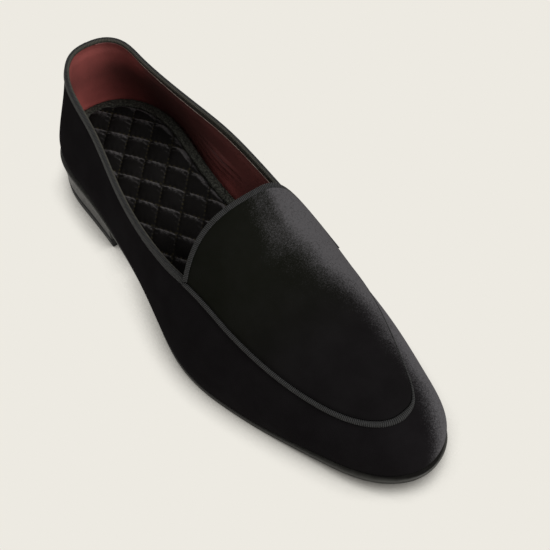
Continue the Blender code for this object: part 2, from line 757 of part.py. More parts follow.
def make_upper(look_velvet, look_ribbon):
    """Upper, the plug laid on it, the piping round the plug and the ribbons over the throat and the collar."""
    points, faces, numbers, plug, throat = upper_skin()
    normals = vertex_normals(points, faces + plug)
    thickness = np.full(len(points), WALL)
    down_share = np.linspace(0, 1, WALL_ROWS + 1)
    thickness[numbers.ravel()] = WALL + STIFFENER * np.tile(down_share ** 2, len(numbers))
    count = len(numbers)
    collar = [(BACK_STATIONS - i) % count for i in range(2 * BACK_STATIONS + 1)]
    thickness -= (WALL - EDGE_WALL) * skiving(points, points[np.concatenate([numbers[collar, 0], throat])])
    made = [add_solid("upper", *thicken(points, faces + plug, normals, -thickness, 0), look_velvet)]
    plug_high = GAP + PLUG_THICKNESS
    made.append(add_solid("vamp_plug", *thicken(points, plug, normals, GAP, plug_high), look_velvet))
    # ribbon over the collar, from the outer corner round the heel to the inner corner
    frames = edge_frames(points, normals, numbers[collar, 0], numbers[collar, 1])
    profile = ribbon_profile(-EDGE_WALL, 0, COLLAR_RIBBON_WIDTH)
    made.append(add_solid("collar_binding", *sweep(frames, [profile] * len(frames)), look_ribbon))
    frames = edge_frames(points, normals, throat, None)
    profile = ribbon_profile(-EDGE_WALL, plug_high, THROAT_RIBBON_WIDTH)
    made.append(add_solid("throat_binding", *sweep(frames, [profile] * len(frames)), look_ribbon))
    # piping just outside the plug, wider round the toe
    seam = [BACK_STATIONS + i for i in range(2 * FRONT_STATIONS + 1)]
    frames = edge_frames(points, normals, numbers[seam, 0], numbers[seam, 1])
    profiles = []
    for i in range(len(seam)):
        toe_share = 1 - abs(i / FRONT_STATIONS - 1)
        wide = PIPING_SIDE_WIDTH + (PIPING_TOE_WIDTH - PIPING_SIDE_WIDTH) * toe_share ** 3
        near, far, high = GAP, GAP + wide, GAP + PIPING_HEIGHT
        shoulder = GAP + PIPING_SHOULDER * PIPING_HEIGHT
        profiles.append([
            ((shoulder, near), (GAP, near)),
            ((high, near + wide / 3), (GAP, near + wide / 3)),
            ((high, far - wide / 3), (GAP, far - wide / 3)),
            ((shoulder, far), (GAP, far)),
        ])
    made.append(add_solid("apron_piping", *sweep(frames, profiles), look_ribbon))
    return made


def stand_on_origin(objects):
    """Hang the objects from one empty whose place puts the origin on the floor under the shoe's middle."""
    corners = np.array([vertex.co for item in objects for vertex in item.data.vertices])
    low, high = corners.min(axis=0), corners.max(axis=0)
    shoe = bpy.data.objects.new("shoe", None)
    bpy.context.scene.collection.objects.link(shoe)
    shoe.location = (-(low[0] + high[0]) / 2, -(low[1] + high[1]) / 2, 0)
    for item in objects:
        item.parent = shoe


def main():
    """Build the shoe."""
    for item in list(bpy.data.objects):
        bpy.data.objects.remove(item, do_unlink=True)
    velvet = material("black velvet", (0.012, 0.011, 0.013), 0.9)
    ribbon = material("ribbed black ribbon", (0.035, 0.034, 0.036), 0.75)
    quilt = material("quilted velvet", (0.010, 0.010, 0.011), 0.95)
    edge = material("black sole edge", (0.030, 0.029, 0.029), 0.5)
    rubber = material("black rubber", (0.020, 0.020, 0.020), 0.6)
    objects = [make_sole(edge)]
    objects += make_heel(edge, rubber)
    objects += make_upper(velvet, ribbon)
    objects += make_insole(quilt, ribbon)
    stand_on_origin(objects)


main()
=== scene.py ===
"""A black velvet slipper loafer for the right foot, standing empty and seen from above its outer side.

Every surface is worked out from the sizes of the last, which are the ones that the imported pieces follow.
Metres. +Y runs from heel to toe, +X to the outer side of the foot, +Z up.
"""
import bpy
import numpy as np
from mathutils import Matrix, Vector


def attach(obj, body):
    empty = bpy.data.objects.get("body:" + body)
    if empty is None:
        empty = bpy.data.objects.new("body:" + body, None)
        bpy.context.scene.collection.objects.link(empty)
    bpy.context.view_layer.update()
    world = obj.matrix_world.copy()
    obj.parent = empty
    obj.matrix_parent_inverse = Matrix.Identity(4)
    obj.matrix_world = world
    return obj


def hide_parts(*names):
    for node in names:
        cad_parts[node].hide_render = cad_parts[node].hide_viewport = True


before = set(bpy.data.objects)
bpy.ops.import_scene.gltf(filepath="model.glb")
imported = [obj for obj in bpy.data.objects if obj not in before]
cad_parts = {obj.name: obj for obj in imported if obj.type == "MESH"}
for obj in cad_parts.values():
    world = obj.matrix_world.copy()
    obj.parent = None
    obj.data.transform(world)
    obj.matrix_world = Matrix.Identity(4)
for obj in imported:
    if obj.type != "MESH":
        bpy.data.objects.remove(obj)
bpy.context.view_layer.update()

# Driving dimensions of the last and the sole
LENGTH = 0.2860            # feather line, from the back of the heel to the toe
BALL_WIDTH = 0.0980        # feather line, across the ball
INSTEP_HEIGHT = 0.0785     # top of the foot at the throat, above the floor
BACK_HEIGHT = 0.0827       # collar at the back of the heel, above the floor
HEEL_RISE = 0.0203         # underside of the outsole over the heel
TOE_SPRING = 0.0084        # underside of the outsole at the toe
UNDERCUT = 0.0022          # how far the wall turns in where it meets the sole
UNDERCUT_HEIGHT = 0.0120
LEAN_HEIGHT = 0.0450       # height over which the quarters reach their full lean
LEAN_START = 0.50          # share of a section's width at which the lean is whole, from none on the spine
FULLNESS = 2.74            # roundness of a cross section: 2 is an ellipse, more is squarer

# Opening and apron
THROAT_BACK = 0.1464       # middle of the throat, from the back of the heel
OUTER_CORNER = 0.1550      # outer end of the throat, where it meets the collar
INNER_CORNER = 0.1761      # inner end of the throat
OUTER_SWEEP = 5.0          # how late the throat's edge turns forward: 1 is a straight line, 2 a parabola
INNER_SWEEP = 3.0

# Thicknesses, widths and clearances
WALL = 0.0020              # velvet, stiffening and leather lining together
STIFFENER = 0.0006         # what the counter and the toe puff add at the bottom of the wall
EDGE_WALL = 0.0011         # wall skived thin where a ribbon is folded over it
SKIVE_WIDTH = 0.0045       # how far from the edge it stays that thin
SKIVE_SLOPE = 0.0050       # how far it then takes to come back to WALL
PLUG_THICKNESS = 0.0011
VAMP_RISE = 0.0001         # how far the vamp under the plug stands over the last
RIBBON = 0.0006            # thickness of the woven ribbon
COLLAR_RIBBON_WIDTH = 0.0026
THROAT_RIBBON_WIDTH = 0.0020
PIPING_HEIGHT = 0.0019
PIPING_FOOT = 0.0002       # how far its foot stands off the wall
PIPING_SIDE_WIDTH = 0.0024
PIPING_TOE_WIDTH = 0.0034
PIPING_INNER_SHARE = 0.45  # what is left of the piping's width and height on the inner side
SOLE_THICKNESS = 0.0035
SOLE_REACH = 0.0014        # how far the sole's edge stands off the feather line, in SOLE_MARGIN's shares
TOP_LIFT = 0.0060
HEEL_BREAST = 0.0730       # front of the heel, from its back
HEEL_INSET = 0.0010        # heel block inside the sole's edge, at the top
HEEL_TAPER = 0.0016        # what the heel loses on each side on its way down
HEEL_WAIST = 0.0002        # how far the block draws in under the sole
HEEL_GROOVE = 0.0004       # depth of the groove between the block and the top lift
LIFT_ROUNDING = 0.0008     # height of the top lift's rounded lower edge
LIFT_TUCK = 0.0005         # how far that edge turns in
INSOLE_THICKNESS = 0.0084  # board, padding and quilted cover
HEEL_CUSHION = 0.20        # how much thicker the insole is at the back of the heel, as a share
HEEL_CUSHION_END = 0.45    # share of LENGTH where that has faded out
INSOLE_RIBBON_WIDTH = 0.0058
BORDER_COVER = 0.0006      # how far that ribbon covers the quilting, sideways and in height
BORDER_DOME = 0.0017       # height of its dome, which starts GAP under the top of the insole
BORDER_BACK = 0.0005       # how far its back lies under that top
INSOLE_TOE_ROOM = 0.0012   # what the insole leaves free at the toe, besides the clearance
INSOLE_TOE_START = 0.70    # share of LENGTH where that starts
GAP = 0.0003               # clearance between pieces that touch
INSOLE_INSET = UNDERCUT + WALL + STIFFENER + GAP

# Outline of the feather line from the back of the heel, along the outer side to the toe and back inside.
# Columns: share of LENGTH along the shoe, share of BALL_WIDTH across it.
OUTLINE = (
    (0.000, 0.000),
    (0.010, 0.150),
    (0.059, 0.300),
    (0.170, 0.357),
    (0.309, 0.397),
    (0.446, 0.461),
    (0.566, 0.522),
    (0.677, 0.479),
    (0.775, 0.390),
    (0.871, 0.283),
    (0.958, 0.153),
    (1.000, -0.051),
    (0.970, -0.282),
    (0.868, -0.411),
    (0.757, -0.472),
    (0.651, -0.469),
    (0.528, -0.425),
    (0.387, -0.345),
    (0.255, -0.342),
    (0.140, -0.369),
    (0.050, -0.285),
    (0.009, -0.140),
)
TOE = 11                   # the row of OUTLINE at the toe

# Underside of the outsole. Columns: share of LENGTH, share of HEEL_RISE, share of TOE_SPRING.
GROUND_LINE = (
    (-0.02, 1.000, 0.000),
    (0.06, 1.000, 0.000),
    (0.13, 0.985, 0.000),
    (0.20, 0.935, 0.000),
    (0.27, 0.835, 0.000),
    (0.34, 0.675, 0.000),
    (0.41, 0.485, 0.000),
    (0.48, 0.295, 0.000),
    (0.55, 0.140, 0.000),
    (0.61, 0.036, 0.000),
    (0.66, -0.010, 0.000),
    (0.70, -0.010, 0.000),
    (0.75, 0.000, 0.010),
    (0.81, 0.000, 0.145),
    (0.88, 0.000, 0.385),
    (0.95, 0.000, 0.730),
    (1.02, 0.000, 1.120),
)

# Top of the last in side view, and the spine that its cross sections spread from.
# Columns: share of LENGTH, share of INSTEP_HEIGHT, share of BALL_WIDTH across.
SPINE = (
    (0.00, 1.420, 0.010),
    (0.11, 1.410, 0.000),
    (0.26, 1.354, -0.095),
    (0.33, 1.290, -0.123),
    (0.40, 1.194, -0.138),
    (0.47, 1.093, -0.132),
    (0.54, 0.977, -0.107),
    (0.61, 0.852, -0.076),
    (0.68, 0.735, -0.052),
    (0.75, 0.626, -0.045),
    (0.82, 0.536, -0.050),
    (0.89, 0.475, -0.060),
    (0.95, 0.429, -0.066),
    (1.01, 0.375, -0.072),
)
SPINE_BACK = 0.094         # shares of LENGTH between which the spine runs
SPINE_FRONT = 0.884
SPINE_BACK_BEND = 0.183     # where its sections start to fan out round the heel and the toe
SPINE_FRONT_BEND = 0.723

# How far the top of the wall leans out.
# Columns: share of LENGTH, then shares of BALL_WIDTH outside and inside.
LEAN = (
    (-0.01, -0.036, -0.036),
    (0.04, -0.042, -0.054),
    (0.09, -0.046, -0.086),
    (0.16, -0.049, -0.080),
    (0.30, -0.005, 0.033),
    (0.43, 0.016, 0.041),
    (0.55, 0.000, 0.000),
    (0.64, 0.000, 0.000),
    (1.01, 0.000, 0.000),
)

# Height of the collar. Columns: share of the way from the heel to the corner, shares of BACK_HEIGHT outside
# and inside.
COLLAR = (
    (-0.07, 0.985, 0.981),
    (0.00, 1.000, 1.000),
    (0.07, 0.985, 0.981),
    (0.18, 0.925, 0.907),
    (0.38, 0.818, 0.800),
    (0.58, 0.728, 0.710),
    (0.78, 0.679, 0.621),
    (1.00, 0.670, 0.556),
)

# Seam of the apron. Columns: way round it, 0 at the outer corner, 1 at the toe and 2 at the inner corner,
# and distance from the spine as a share of the section's half width.
APRON = (
    (0.00, 0.745),
    (0.17, 0.733),
    (0.35, 0.717),
    (0.53, 0.685),
    (0.70, 0.600),
    (0.85, 0.440),
    (1.00, 0.333),
    (1.15, 0.362),
    (1.30, 0.438),
    (1.47, 0.532),
    (1.65, 0.640),
    (1.83, 0.738),
    (2.00, 0.790),
)

# Edge of the sole, from its top to its bottom. Columns: inset and depth in metres.
SOLE_EDGE = (
    (0.0006, 0.0),
    (0.0002, 0.0001),
    (0.0, 0.0004),
    (0.0, 0.0009),
    (0.0002, 0.0012),
    (0.0006, 0.0014),
    (0.0005, 0.0017),
    (0.0004, 0.0021),
    (0.0004, 0.0028),
    (0.0006, 0.0032),
    (0.0011, 0.0035),
)

# Reach of the sole's edge past the feather line. Columns: row of OUTLINE, share of SOLE_REACH.
SOLE_MARGIN = (
    (0.0, -0.3),
    (3.0, -0.3),
    (4.5, -1.5),
    (6.0, -1.1),
    (8.0, -0.8),
    (10.5, 0.4),
    (12.0, -0.3),
    (14.0, -0.6),
    (15.5, -0.4),
    (17.5, -1.6),
    (19.5, -0.3),
    (22.0, -0.3),
)

# Camera, in degrees and metres. Its target is counted from the back of the heel.
HEADING = 142.671
ELEVATION = 51.097
ROLL = -0.576
DISTANCE = 0.6315
TARGET = (0.0, 0.1607, 0.025)
SIDE_SHIFT = -0.00930
RISE_SHIFT = 0.00811
LENS = 81.66
SENSOR = 36

# Light: brightness of the surroundings, then the key light's power, direction and softness in degrees
SURROUND = 0.55
KEY_POWER = 2.0
KEY_HEADING = 118
KEY_HEIGHT = 42
KEY_SOFTNESS = 40
SHADE_REACH = 0.023        # how far from the shoe the floor is in its shade
SHADE_LIMIT = 0.70         # share of open sky over the floor from which it looks fully lit
SHADE_DEPTH = 2.7          # how fast the shade deepens under that

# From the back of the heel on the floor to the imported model's own origin
PLACE = np.array([-0.00221, -0.14339, 0.0])

# Looks
RIB_PITCH = 0.00085        # ribs of the ribbon, along its length
QUILT_PUFF = 0.0026        # height of the puffs over the lines
QUILT_PLACE = (0.0073, 0.0658)     # a crossing of two lines of quilting
QUILT_ROW_STEP = (0.0094, 0.0098)  # from there to the next crossing forwards and outwards
QUILT_SIDE_STEP = (-0.0076, 0.0098)  # and to the next one forwards and inwards
QUILT_UNEVEN = 0.24        # how far the puffs' heights differ
QUILT_PUCKERS = 4          # folds along each side of a puff
QUILT_PUCKER_DEPTH = 0.055
QUILT_STITCH = 0.0026      # from one stitch to the next
PLUG_SOFTNESS = 0.0005     # how far the plug swells between its edges
PLUG_SWELL = 0.0012        # how much more it swells beside the inner end of the throat
PLUG_SWELL_PLACE = 0.158   # how far from the back of the heel that is
PLUG_GROOVE = 0.0004       # how much lower the plug's edge lies, beside the ribbon
CREASE_DEPTH = 0.0017      # deepest fold of the lining
CREASE_PAINTED_LIGHT = 0.06        # painted highlight on their crests and painted shade in their troughs, as a share from dark to light
CREASE_HEIGHT = 0.0425     # height of the highest fold, at CREASE_PLACE from the back of the heel
CREASE_PLACE = 0.080
CREASE_SLANT = 0.20        # how far the folds sink, as a share of the way forwards
CREASE_WIDTH = 0.0011
CREASE_LENGTH = 0.011
BINDING_INSIDE = 0.0022    # width of the throat's ribbon on the inside
COLLAR_INSIDE_HEEL = 0.0010    # and of the collar's, at the back of the heel
COLLAR_INSIDE_WAIST = 0.0034   # and along the waist
CUT_EDGE = 0.00024         # radius of the lining's pale cut edge, which shows under the collar's ribbon
HIGHLIGHT_RIM_DEPTH = 0.0007         # depth of the painted highlight along the top rim of the sole's edge
RIM_HIGHLIGHT_HEEL = 0.20         # share of LENGTH up to which that painted highlight is full
RIM_HIGHLIGHT_TOE = 0.68          # share from which it starts to be so again, towards the toe
RIM_HIGHLIGHT_WAIST = 0.25        # what is left of that between them
OLIVE_FRONT = 0.175        # distance from the heel where the olive of the plug's black starts to fade
OLIVE_INSIDE = 0.012       # and the distance inwards from the middle where it does

# Directions, level with the floor, in which velvet gets painted sheen: where its normals turn that way its
# colour is lighter, as if light caught the side of its pile
UPPER_SHEEN_DIRECTION = (-0.906, 0.423, 0.0)
INSOLE_SHEEN_DIRECTION = (-0.788, -0.616, 0.0)

# How far a normal turns that way where the painted sheen starts, and where it is strongest
INSOLE_SHEEN_RANGE = (0.06, 0.66)

# The same for the upper. Columns: share of LENGTH, turn where the painted sheen starts, and where it is
# strongest.
UPPER_SHEEN_RANGE = (
    (0.00, 0.25, 0.80),
    (0.45, 0.25, 0.80),
    (0.52, 0.12, 0.34),
    (0.58, 0.12, 0.36),
    (0.62, 0.12, 0.50),
    (0.66, 0.16, 0.58),
    (0.70, 0.22, 0.70),
    (0.75, 0.34, 0.80),
    (0.90, 0.34, 0.80),
    (0.95, 0.38, 0.84),
    (1.00, 0.42, 0.96),
)

# Painted light and shade of the lining of the inner side, lighter round the heel than along the waist.
# Columns: share of LENGTH, share from dark to light.
LINING_PAINTED_LIGHT = (
    (0.00, 0.50),
    (0.02, 0.43),
    (0.04, 0.19),
    (0.07, 0.11),
    (0.12, 0.07),
    (0.18, 0.08),
    (0.24, 0.11),
    (0.30, 0.16),
    (0.36, 0.19),
    (0.50, 0.20),
)

# Painted light, where the lining looks lighter still, low at the heel and at the throat.
# Columns: share from dark to light, distance from the heel, its reach, height, its reach.
LINING_PAINTED_GLOWS = (
    (0.45, 0.000, 0.014, 0.030, 0.014),
    (0.25, 0.092, 0.013, 0.024, 0.007),
)

# Folds of the lining. Columns: share of CREASE_DEPTH, metres above the highest fold, metres from the heel.
LINING_FOLDS = (
    (1.0, 0.0, 0.086),
    (0.9, -0.0042, 0.083),
    (0.6, -0.0085, 0.080),
    (-0.8, -0.0021, 0.085),
)

# Colours. A pair is the dark and the light that a look runs between.
# The light colour of each velvet pair is painted sheen, not the velvet's own colour
VELVET_AND_SHEEN = ((0.0074, 0.0066, 0.0071), (0.084, 0.081, 0.085))
PLUG_VELVET_AND_SHEEN = ((0.0070, 0.0063, 0.0066), (0.076, 0.073, 0.076))
OLIVE_BLACK = (0.0063, 0.0066, 0.0048)
QUILT_AND_SHEEN = ((0.0066, 0.0061, 0.0058), (0.112, 0.106, 0.106))
THREAD = (0.034, 0.029, 0.015)
# Ribbon pairs run from painted shade in the ribs' troughs to painted light on their crests
RIBBON_OUTSIDE = ((0.006, 0.006, 0.0055), (0.050, 0.050, 0.050))
RIBBON_INSIDE = ((0.031, 0.030, 0.024), (0.092, 0.088, 0.072))
INSOLE_RIBBON = ((0.010, 0.010, 0.008), (0.070, 0.072, 0.060))
# The lining's pair runs from its painted shade to its painted light
LINING_SHADE_AND_LIGHT = ((0.036, 0.0170, 0.0150), (0.500, 0.1220, 0.1080))
PINK_AND_CREAM = ((0.240, 0.085, 0.080), (0.520, 0.440, 0.380))
SOLE_DRESSING_AND_HIGHLIGHT = ((0.0115, 0.0108, 0.0095), (0.046, 0.045, 0.040))
# The floor's pair runs from its painted shade to its even glow
FLOOR_SHADE_AND_PAPER = ((0.030, 0.027, 0.022), (0.848, 0.823, 0.761))
HEEL_BLACK = (0.009, 0.0085, 0.008)
RUBBER_BLACK = (0.007, 0.007, 0.007)

# Mesh counts, and half the width of the floor
FLOOR_HALF = 4.0
AROUND = 150               # along each side of the collar, and of the apron
DOWN = 40
RINGS = 46
SOLE_ACROSS = 16
HEEL_ACROSS = 12
PAD_ALONG = 500
PAD_ACROSS = 121
PAD_END = 14               # rings at each end of the insole over which the quilting fades out
NO_TRIANGLES = np.zeros((0, 3), dtype=int)


def columns(table):
    """The columns of a table as arrays."""
    return [np.array(column, dtype=float) for column in zip(*table)]


def through(xs, ys, x):
    """Natural cubic curve through the points (xs, ys), read at x."""
    gaps = np.diff(xs)
    count = len(xs)
    matrix = np.eye(count)
    right = np.zeros(count)
    for i in range(1, count - 1):
        matrix[i, i - 1:i + 2] = gaps[i - 1], 2 * (gaps[i - 1] + gaps[i]), gaps[i]
        right[i] = 6 * ((ys[i + 1] - ys[i]) / gaps[i] - (ys[i] - ys[i - 1]) / gaps[i - 1])
    bend = np.linalg.solve(matrix, right)
    x = np.asarray(x, dtype=float)
    k = np.clip(np.searchsorted(xs, x) - 1, 0, count - 2)
    step = x - xs[k]
    slope = (ys[k + 1] - ys[k]) / gaps[k] - gaps[k] * (2 * bend[k] + bend[k + 1]) / 6
    curve = bend[k] / 2 * step ** 2 + (bend[k + 1] - bend[k]) / (6 * gaps[k]) * step ** 3
    return ys[k] + slope * step + curve


def read(table, at):
    """Columns of a table after its first, each read as a curve over the first."""
    first, *rest = columns(table)
    return [through(first, column, at) for column in rest]


def closed_through(points, u):
    """Closed cubic curve through points, read at u, where whole numbers are the points themselves."""
    count = len(points)
    after = np.roll(points, -1, axis=0)
    gaps = np.linalg.norm(after - points, axis=1) ** 0.75
    slopes = (after - points) / gaps[:, None]
    matrix = np.zeros((count, count))
    for i in range(count):
        matrix[i, i - 1] += gaps[i - 1]
        matrix[i, i] += 2 * (gaps[i - 1] + gaps[i])
        matrix[i, (i + 1) % count] += gaps[i]
    bend = np.linalg.solve(matrix, 6 * (slopes - np.roll(slopes, 1, axis=0)))
    u = np.mod(np.asarray(u, dtype=float), count)
    k = np.minimum(u.astype(int), count - 1)
    gap = gaps[k][:, None]
    step = (u - k)[:, None] * gap
    start, end = bend[k], bend[(k + 1) % count]
    slope = slopes[k] - gap * (2 * start + end) / 6
    return points[k] + slope * step + start / 2 * step ** 2 + (end - start) / (6 * gap) * step ** 3


def outline(u):
    """Points of the feather line in plan, at places u counted in rows of OUTLINE."""
    along, across = columns(OUTLINE)
    return closed_through(np.column_stack([across * BALL_WIDTH, along * LENGTH]), u)


def outline_normal(u):
    """Unit vectors that point out of the feather line in plan."""
    step = 0.02
    tangent = outline(u + step) - outline(u - step)
    normal = np.column_stack([tangent[:, 1], -tangent[:, 0]])
    return normal / np.linalg.norm(normal, axis=1)[:, None]


def place_at(side, y):
    """Place u on the outer (side 1) or inner (side -1) half of the feather line at the distance y."""
    u = np.linspace(0, TOE, 500) if side > 0 else np.linspace(len(OUTLINE), TOE, 500)
    reach = np.maximum.accumulate(outline(u)[:, 1])
    return np.interp(y, reach, u)


def spaced(start, end, count):
    """Places from start to end, evenly far apart along the feather line."""
    u = np.linspace(start, end, 400)
    steps = np.linalg.norm(np.diff(outline(u), axis=0), axis=1)
    travelled = np.concatenate([[0], np.cumsum(steps)])
    return np.interp(np.linspace(0, travelled[-1], count + 1), travelled, u)


def ground_height(y):
    """Height of the underside of the outsole, which lies flat on the floor where the table dips under it."""
    heel, toe = read(GROUND_LINE, y / LENGTH)
    return np.maximum(heel * HEEL_RISE + toe * TOE_SPRING, 0)


def seat_height(y):
    """Height of the bottom of the upper, just over the outsole."""
    return ground_height(y) + SOLE_THICKNESS + GAP


def crown_height(y):
    """Height of the top of the last along its spine."""
    return read(SPINE, y / LENGTH)[0] * INSTEP_HEIGHT


def spine_station(y):
    """Where on the spine the section that ends at y starts: level with it, but for the fans at both ends."""
    front, front_bend = SPINE_FRONT * LENGTH, SPINE_FRONT_BEND * LENGTH
    back, back_bend = SPINE_BACK * LENGTH, SPINE_BACK_BEND * LENGTH
    power = (LENGTH - front_bend) / (front - front_bend)
    left = np.clip((LENGTH - y) / (LENGTH - front_bend), 0, 1)
    station = np.where(y > front_bend, front - (front - front_bend) * left ** power, y)
    power = back_bend / (back_bend - back)
    left = np.clip(y / back_bend, 0, 1)
    return np.where(y < back_bend, back + (back_bend - back) * left ** power, station)


def section(u):
    """Start on the spine and end on the feather line, in plan, of the sections at places u."""
    end = outline(u)
    station = spine_station(end[:, 1])
    return np.column_stack([read(SPINE, station / LENGTH)[1] * BALL_WIDTH, station]), end


def last_surface(u, r):
    """Points of the upper's outer face. r is 0 on the spine and 1 on the feather line.

    A section rises from the feather line to the crown as the root of 1 - r ** FULLNESS. The bottom turns in
    by UNDERCUT, and the quarters lean as LEAN says.
    """
    start, end = section(u)
    across = end - start
    out = across / np.linalg.norm(across, axis=1)[:, None]
    plan = start + across * r[:, None]
    seat = seat_height(end[:, 1])
    rise = (crown_height(plan[:, 1]) - seat) * np.sqrt(np.clip(1 - r ** FULLNESS, 0, 1))
    tuck = UNDERCUT * np.clip(1 - rise / UNDERCUT_HEIGHT, 0, 1) ** 2
    outer, inner = read(LEAN, end[:, 1] / LENGTH)
    lean = np.where(end[:, 0] > start[:, 0], outer, inner) * BALL_WIDTH
    lean = lean * smooth_step(rise / LEAN_HEIGHT) * smooth_step(r / LEAN_START)
    return np.column_stack([plan + out * (lean - tuck)[:, None], seat + rise])


def share_at_height(u, height):
    """The r at which the sections at places u reach a height."""
    start, end = section(u)
    seat = seat_height(end[:, 1])
    r = np.full(len(end), 0.8)
    for _ in range(12):
        y = start[:, 1] + (end[:, 1] - start[:, 1]) * r
        rise = np.clip((height - seat) / (crown_height(y) - seat), 0, 0.999)
        r = (1 - rise ** 2) ** (1 / FULLNESS)
    return r


def chart(plan):
    """Place u and share r of points in plan, found by halving along the outer or the inner side."""
    _, middle = section(np.array([float(TOE)]))
    spine_x = read(SPINE, np.minimum(plan[:, 1] / LENGTH, SPINE_FRONT))[1] * BALL_WIDTH
    ahead = np.clip((plan[:, 1] / LENGTH - SPINE_FRONT) / (1 - SPINE_FRONT), 0, 1)
    spine_x = spine_x + (middle[0, 0] - spine_x) * ahead
    side = np.where(plan[:, 0] >= spine_x, 1, -1)
    low = np.zeros(len(plan))
    high = np.full(len(plan), float(TOE))
    for _ in range(30):
        half = (low + high) / 2
        start, end = section(np.where(side > 0, half, len(OUTLINE) - half))
        across_section = end - start
        to_point = plan - start
        turn = across_section[:, 0] * to_point[:, 1] - across_section[:, 1] * to_point[:, 0]
        is_ahead = turn * side > 0
        low = np.where(is_ahead, half, low)
        high = np.where(is_ahead, high, half)
    u = np.where(side > 0, low, len(OUTLINE) - low)
    start, end = section(u)
    r = np.linalg.norm(plan - start, axis=1) / np.linalg.norm(end - start, axis=1)
    return u, np.minimum(r, 1)


def plan_point(u, r):
    """Points in plan before the wall's undercut and lean."""
    start, end = section(u)
    return start + (end - start) * r[:, None]


def collar_top(side, u, corner):
    """The r of the collar at places u on one side."""
    outer, inner = read(COLLAR, np.clip(outline(u)[:, 1] / corner, 0, 1))
    return share_at_height(u, (outer if side > 0 else inner) * BACK_HEIGHT)


def apron_top(share, outer_r, inner_r):
    """The r of the apron's seam, at shares from 0 at the outer corner over 1 at the toe to 2 inside."""
    knots, values = columns(APRON)
    outer_fade = np.clip(1 - share / knots[1], 0, 1) ** 2
    inner_fade = np.clip(1 - (2 - share) / (2 - knots[-2]), 0, 1) ** 2
    ends = (outer_r - values[0]) * outer_fade + (inner_r - values[-1]) * inner_fade
    return through(knots, values, share) + ends


def throat_plan(side, angles, corner, corner_r):
    """Plan of half of the throat's edge, which runs forward from the crown as a power of the way across."""
    power = OUTER_SWEEP if side > 0 else INNER_SWEEP
    y = THROAT_BACK + (corner - THROAT_BACK) * np.cos(angles) ** power
    return plan_point(place_at(side, y), corner_r * np.cos(angles))


def surface_over(plan):
    """Points of the upper's outer face over points in plan."""
    u, r = chart(plan)
    return last_surface(u, r)


def unit(vectors):
    """Vectors of length 1."""
    return vectors / np.maximum(np.linalg.norm(vectors, axis=-1, keepdims=True), 1e-12)


def smooth_step(x):
    """0 below 0, 1 above 1, and a soft rise between."""
    x = np.clip(x, 0, 1)
    return x * x * (3 - 2 * x)


def bell(x, middle, width):
    """Soft hump of height 1."""
    return np.exp(-((x - middle) / width) ** 2)


def grid_quads(rows, columns, around, closed_rows=False):
    """Quads of a grid of vertices, numbered row by row. around joins the last column to the first."""
    last_row, last_column = rows - (not closed_rows), columns - (not around)
    i, j = np.meshgrid(np.arange(last_row), np.arange(last_column), indexing="ij")
    below, beside = (i + 1) % rows, (j + 1) % columns
    quads = [i * columns + j, i * columns + beside, below * columns + beside, below * columns + j]
    return np.stack(quads, axis=-1).reshape(-1, 4)


def grid_normals(grid, around):
    """Normals of a grid of points from its differences along rows and columns."""
    down = np.gradient(grid, axis=0)
    if around:
        across = np.roll(grid, -1, axis=1) - np.roll(grid, 1, axis=1)
    else:
        across = np.gradient(grid, axis=1)
    return unit(np.cross(across, down))


def closed_tube(rings):
    """Closed surface of rings of points, with a fan over the first and over the last."""
    count, around = rings.shape[:2]
    points = np.concatenate([rings.reshape(-1, 3), rings[0].mean(axis=0)[None], rings[-1].mean(axis=0)[None]])
    quads = grid_quads(count, around, True)
    j = np.arange(around)
    beside = (j + 1) % around
    last = (count - 1) * around
    first_pole, last_pole = count * around, count * around + 1
    fans = [np.stack([beside, j, np.full(around, first_pole)], axis=1),
            np.stack([last + j, last + beside, np.full(around, last_pole)], axis=1)]
    return points, quads, np.concatenate(fans)


def signed_volume(points, quads, fans):
    """Volume inside a closed surface, negative where its faces turn inwards."""
    corners = [points[quads[:, [0, 1, 2]]], points[quads[:, [0, 2, 3]]]]
    if len(fans):
        corners.append(points[fans])
    corners = np.concatenate(corners)
    return np.einsum("ij,ij->", corners[:, 0], np.cross(corners[:, 1], corners[:, 2])) / 6


def add_piece(name, surfaces, looks, values=None):
    """Object of one or more closed surfaces.

    A surface is its points, quads, triangles and the look of each face as a number in looks. values names
    numbers that each vertex carries for its material.
    """
    points, faces, numbers = [], [], []
    first = 0
    for surface_points, quads, fans, look_numbers in surfaces:
        if signed_volume(surface_points, quads, fans) < 0:
            quads, fans = quads[:, ::-1], fans[:, ::-1]
        points.append(surface_points)
        faces += (quads + first).tolist() + (fans + first).tolist()
        numbers.append(np.broadcast_to(look_numbers, len(quads) + len(fans)))
        first += len(surface_points)
    mesh = bpy.data.meshes.new(name)
    mesh.from_pydata((np.concatenate(points) + PLACE).tolist(), [], faces)
    for look in looks:
        mesh.materials.append(look)
    mesh.polygons.foreach_set("material_index", np.concatenate(numbers).astype(np.int32))
    mesh.polygons.foreach_set("use_smooth", np.ones(len(faces), dtype=bool))
    for key, value in (values or {}).items():
        layer = mesh.attributes.new(key, "FLOAT", "POINT")
        layer.data.foreach_set("value", np.asarray(value, dtype=np.float32))
    mesh.update()
    piece = bpy.data.objects.new(name, mesh)
    bpy.context.scene.collection.objects.link(piece)
    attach(piece, "root")
    return piece


def wall_grid(u, top, rows):
    """Points of the upper's outer face from r = top down to the feather line, evenly far apart, by rows."""
    fine = 160
    share = 1 - (1 - np.linspace(0, 1, fine)) ** 2
    r = top[:, None] + (1 - top[:, None]) * share[None]
    points = last_surface(np.repeat(u, fine), r.ravel()).reshape(len(u), fine, 3)
    steps = np.linalg.norm(np.diff(points, axis=1), axis=2)
    travelled = np.concatenate([np.zeros((len(u), 1)), np.cumsum(steps, axis=1)], axis=1)
    wanted = [np.interp(np.linspace(0, way[-1], rows + 1), way, shares) for way, shares in zip(travelled, r)]
    grid = last_surface(np.repeat(u, rows + 1), np.concatenate(wanted)).reshape(len(u), rows + 1, 3)
    return grid.transpose(1, 0, 2)


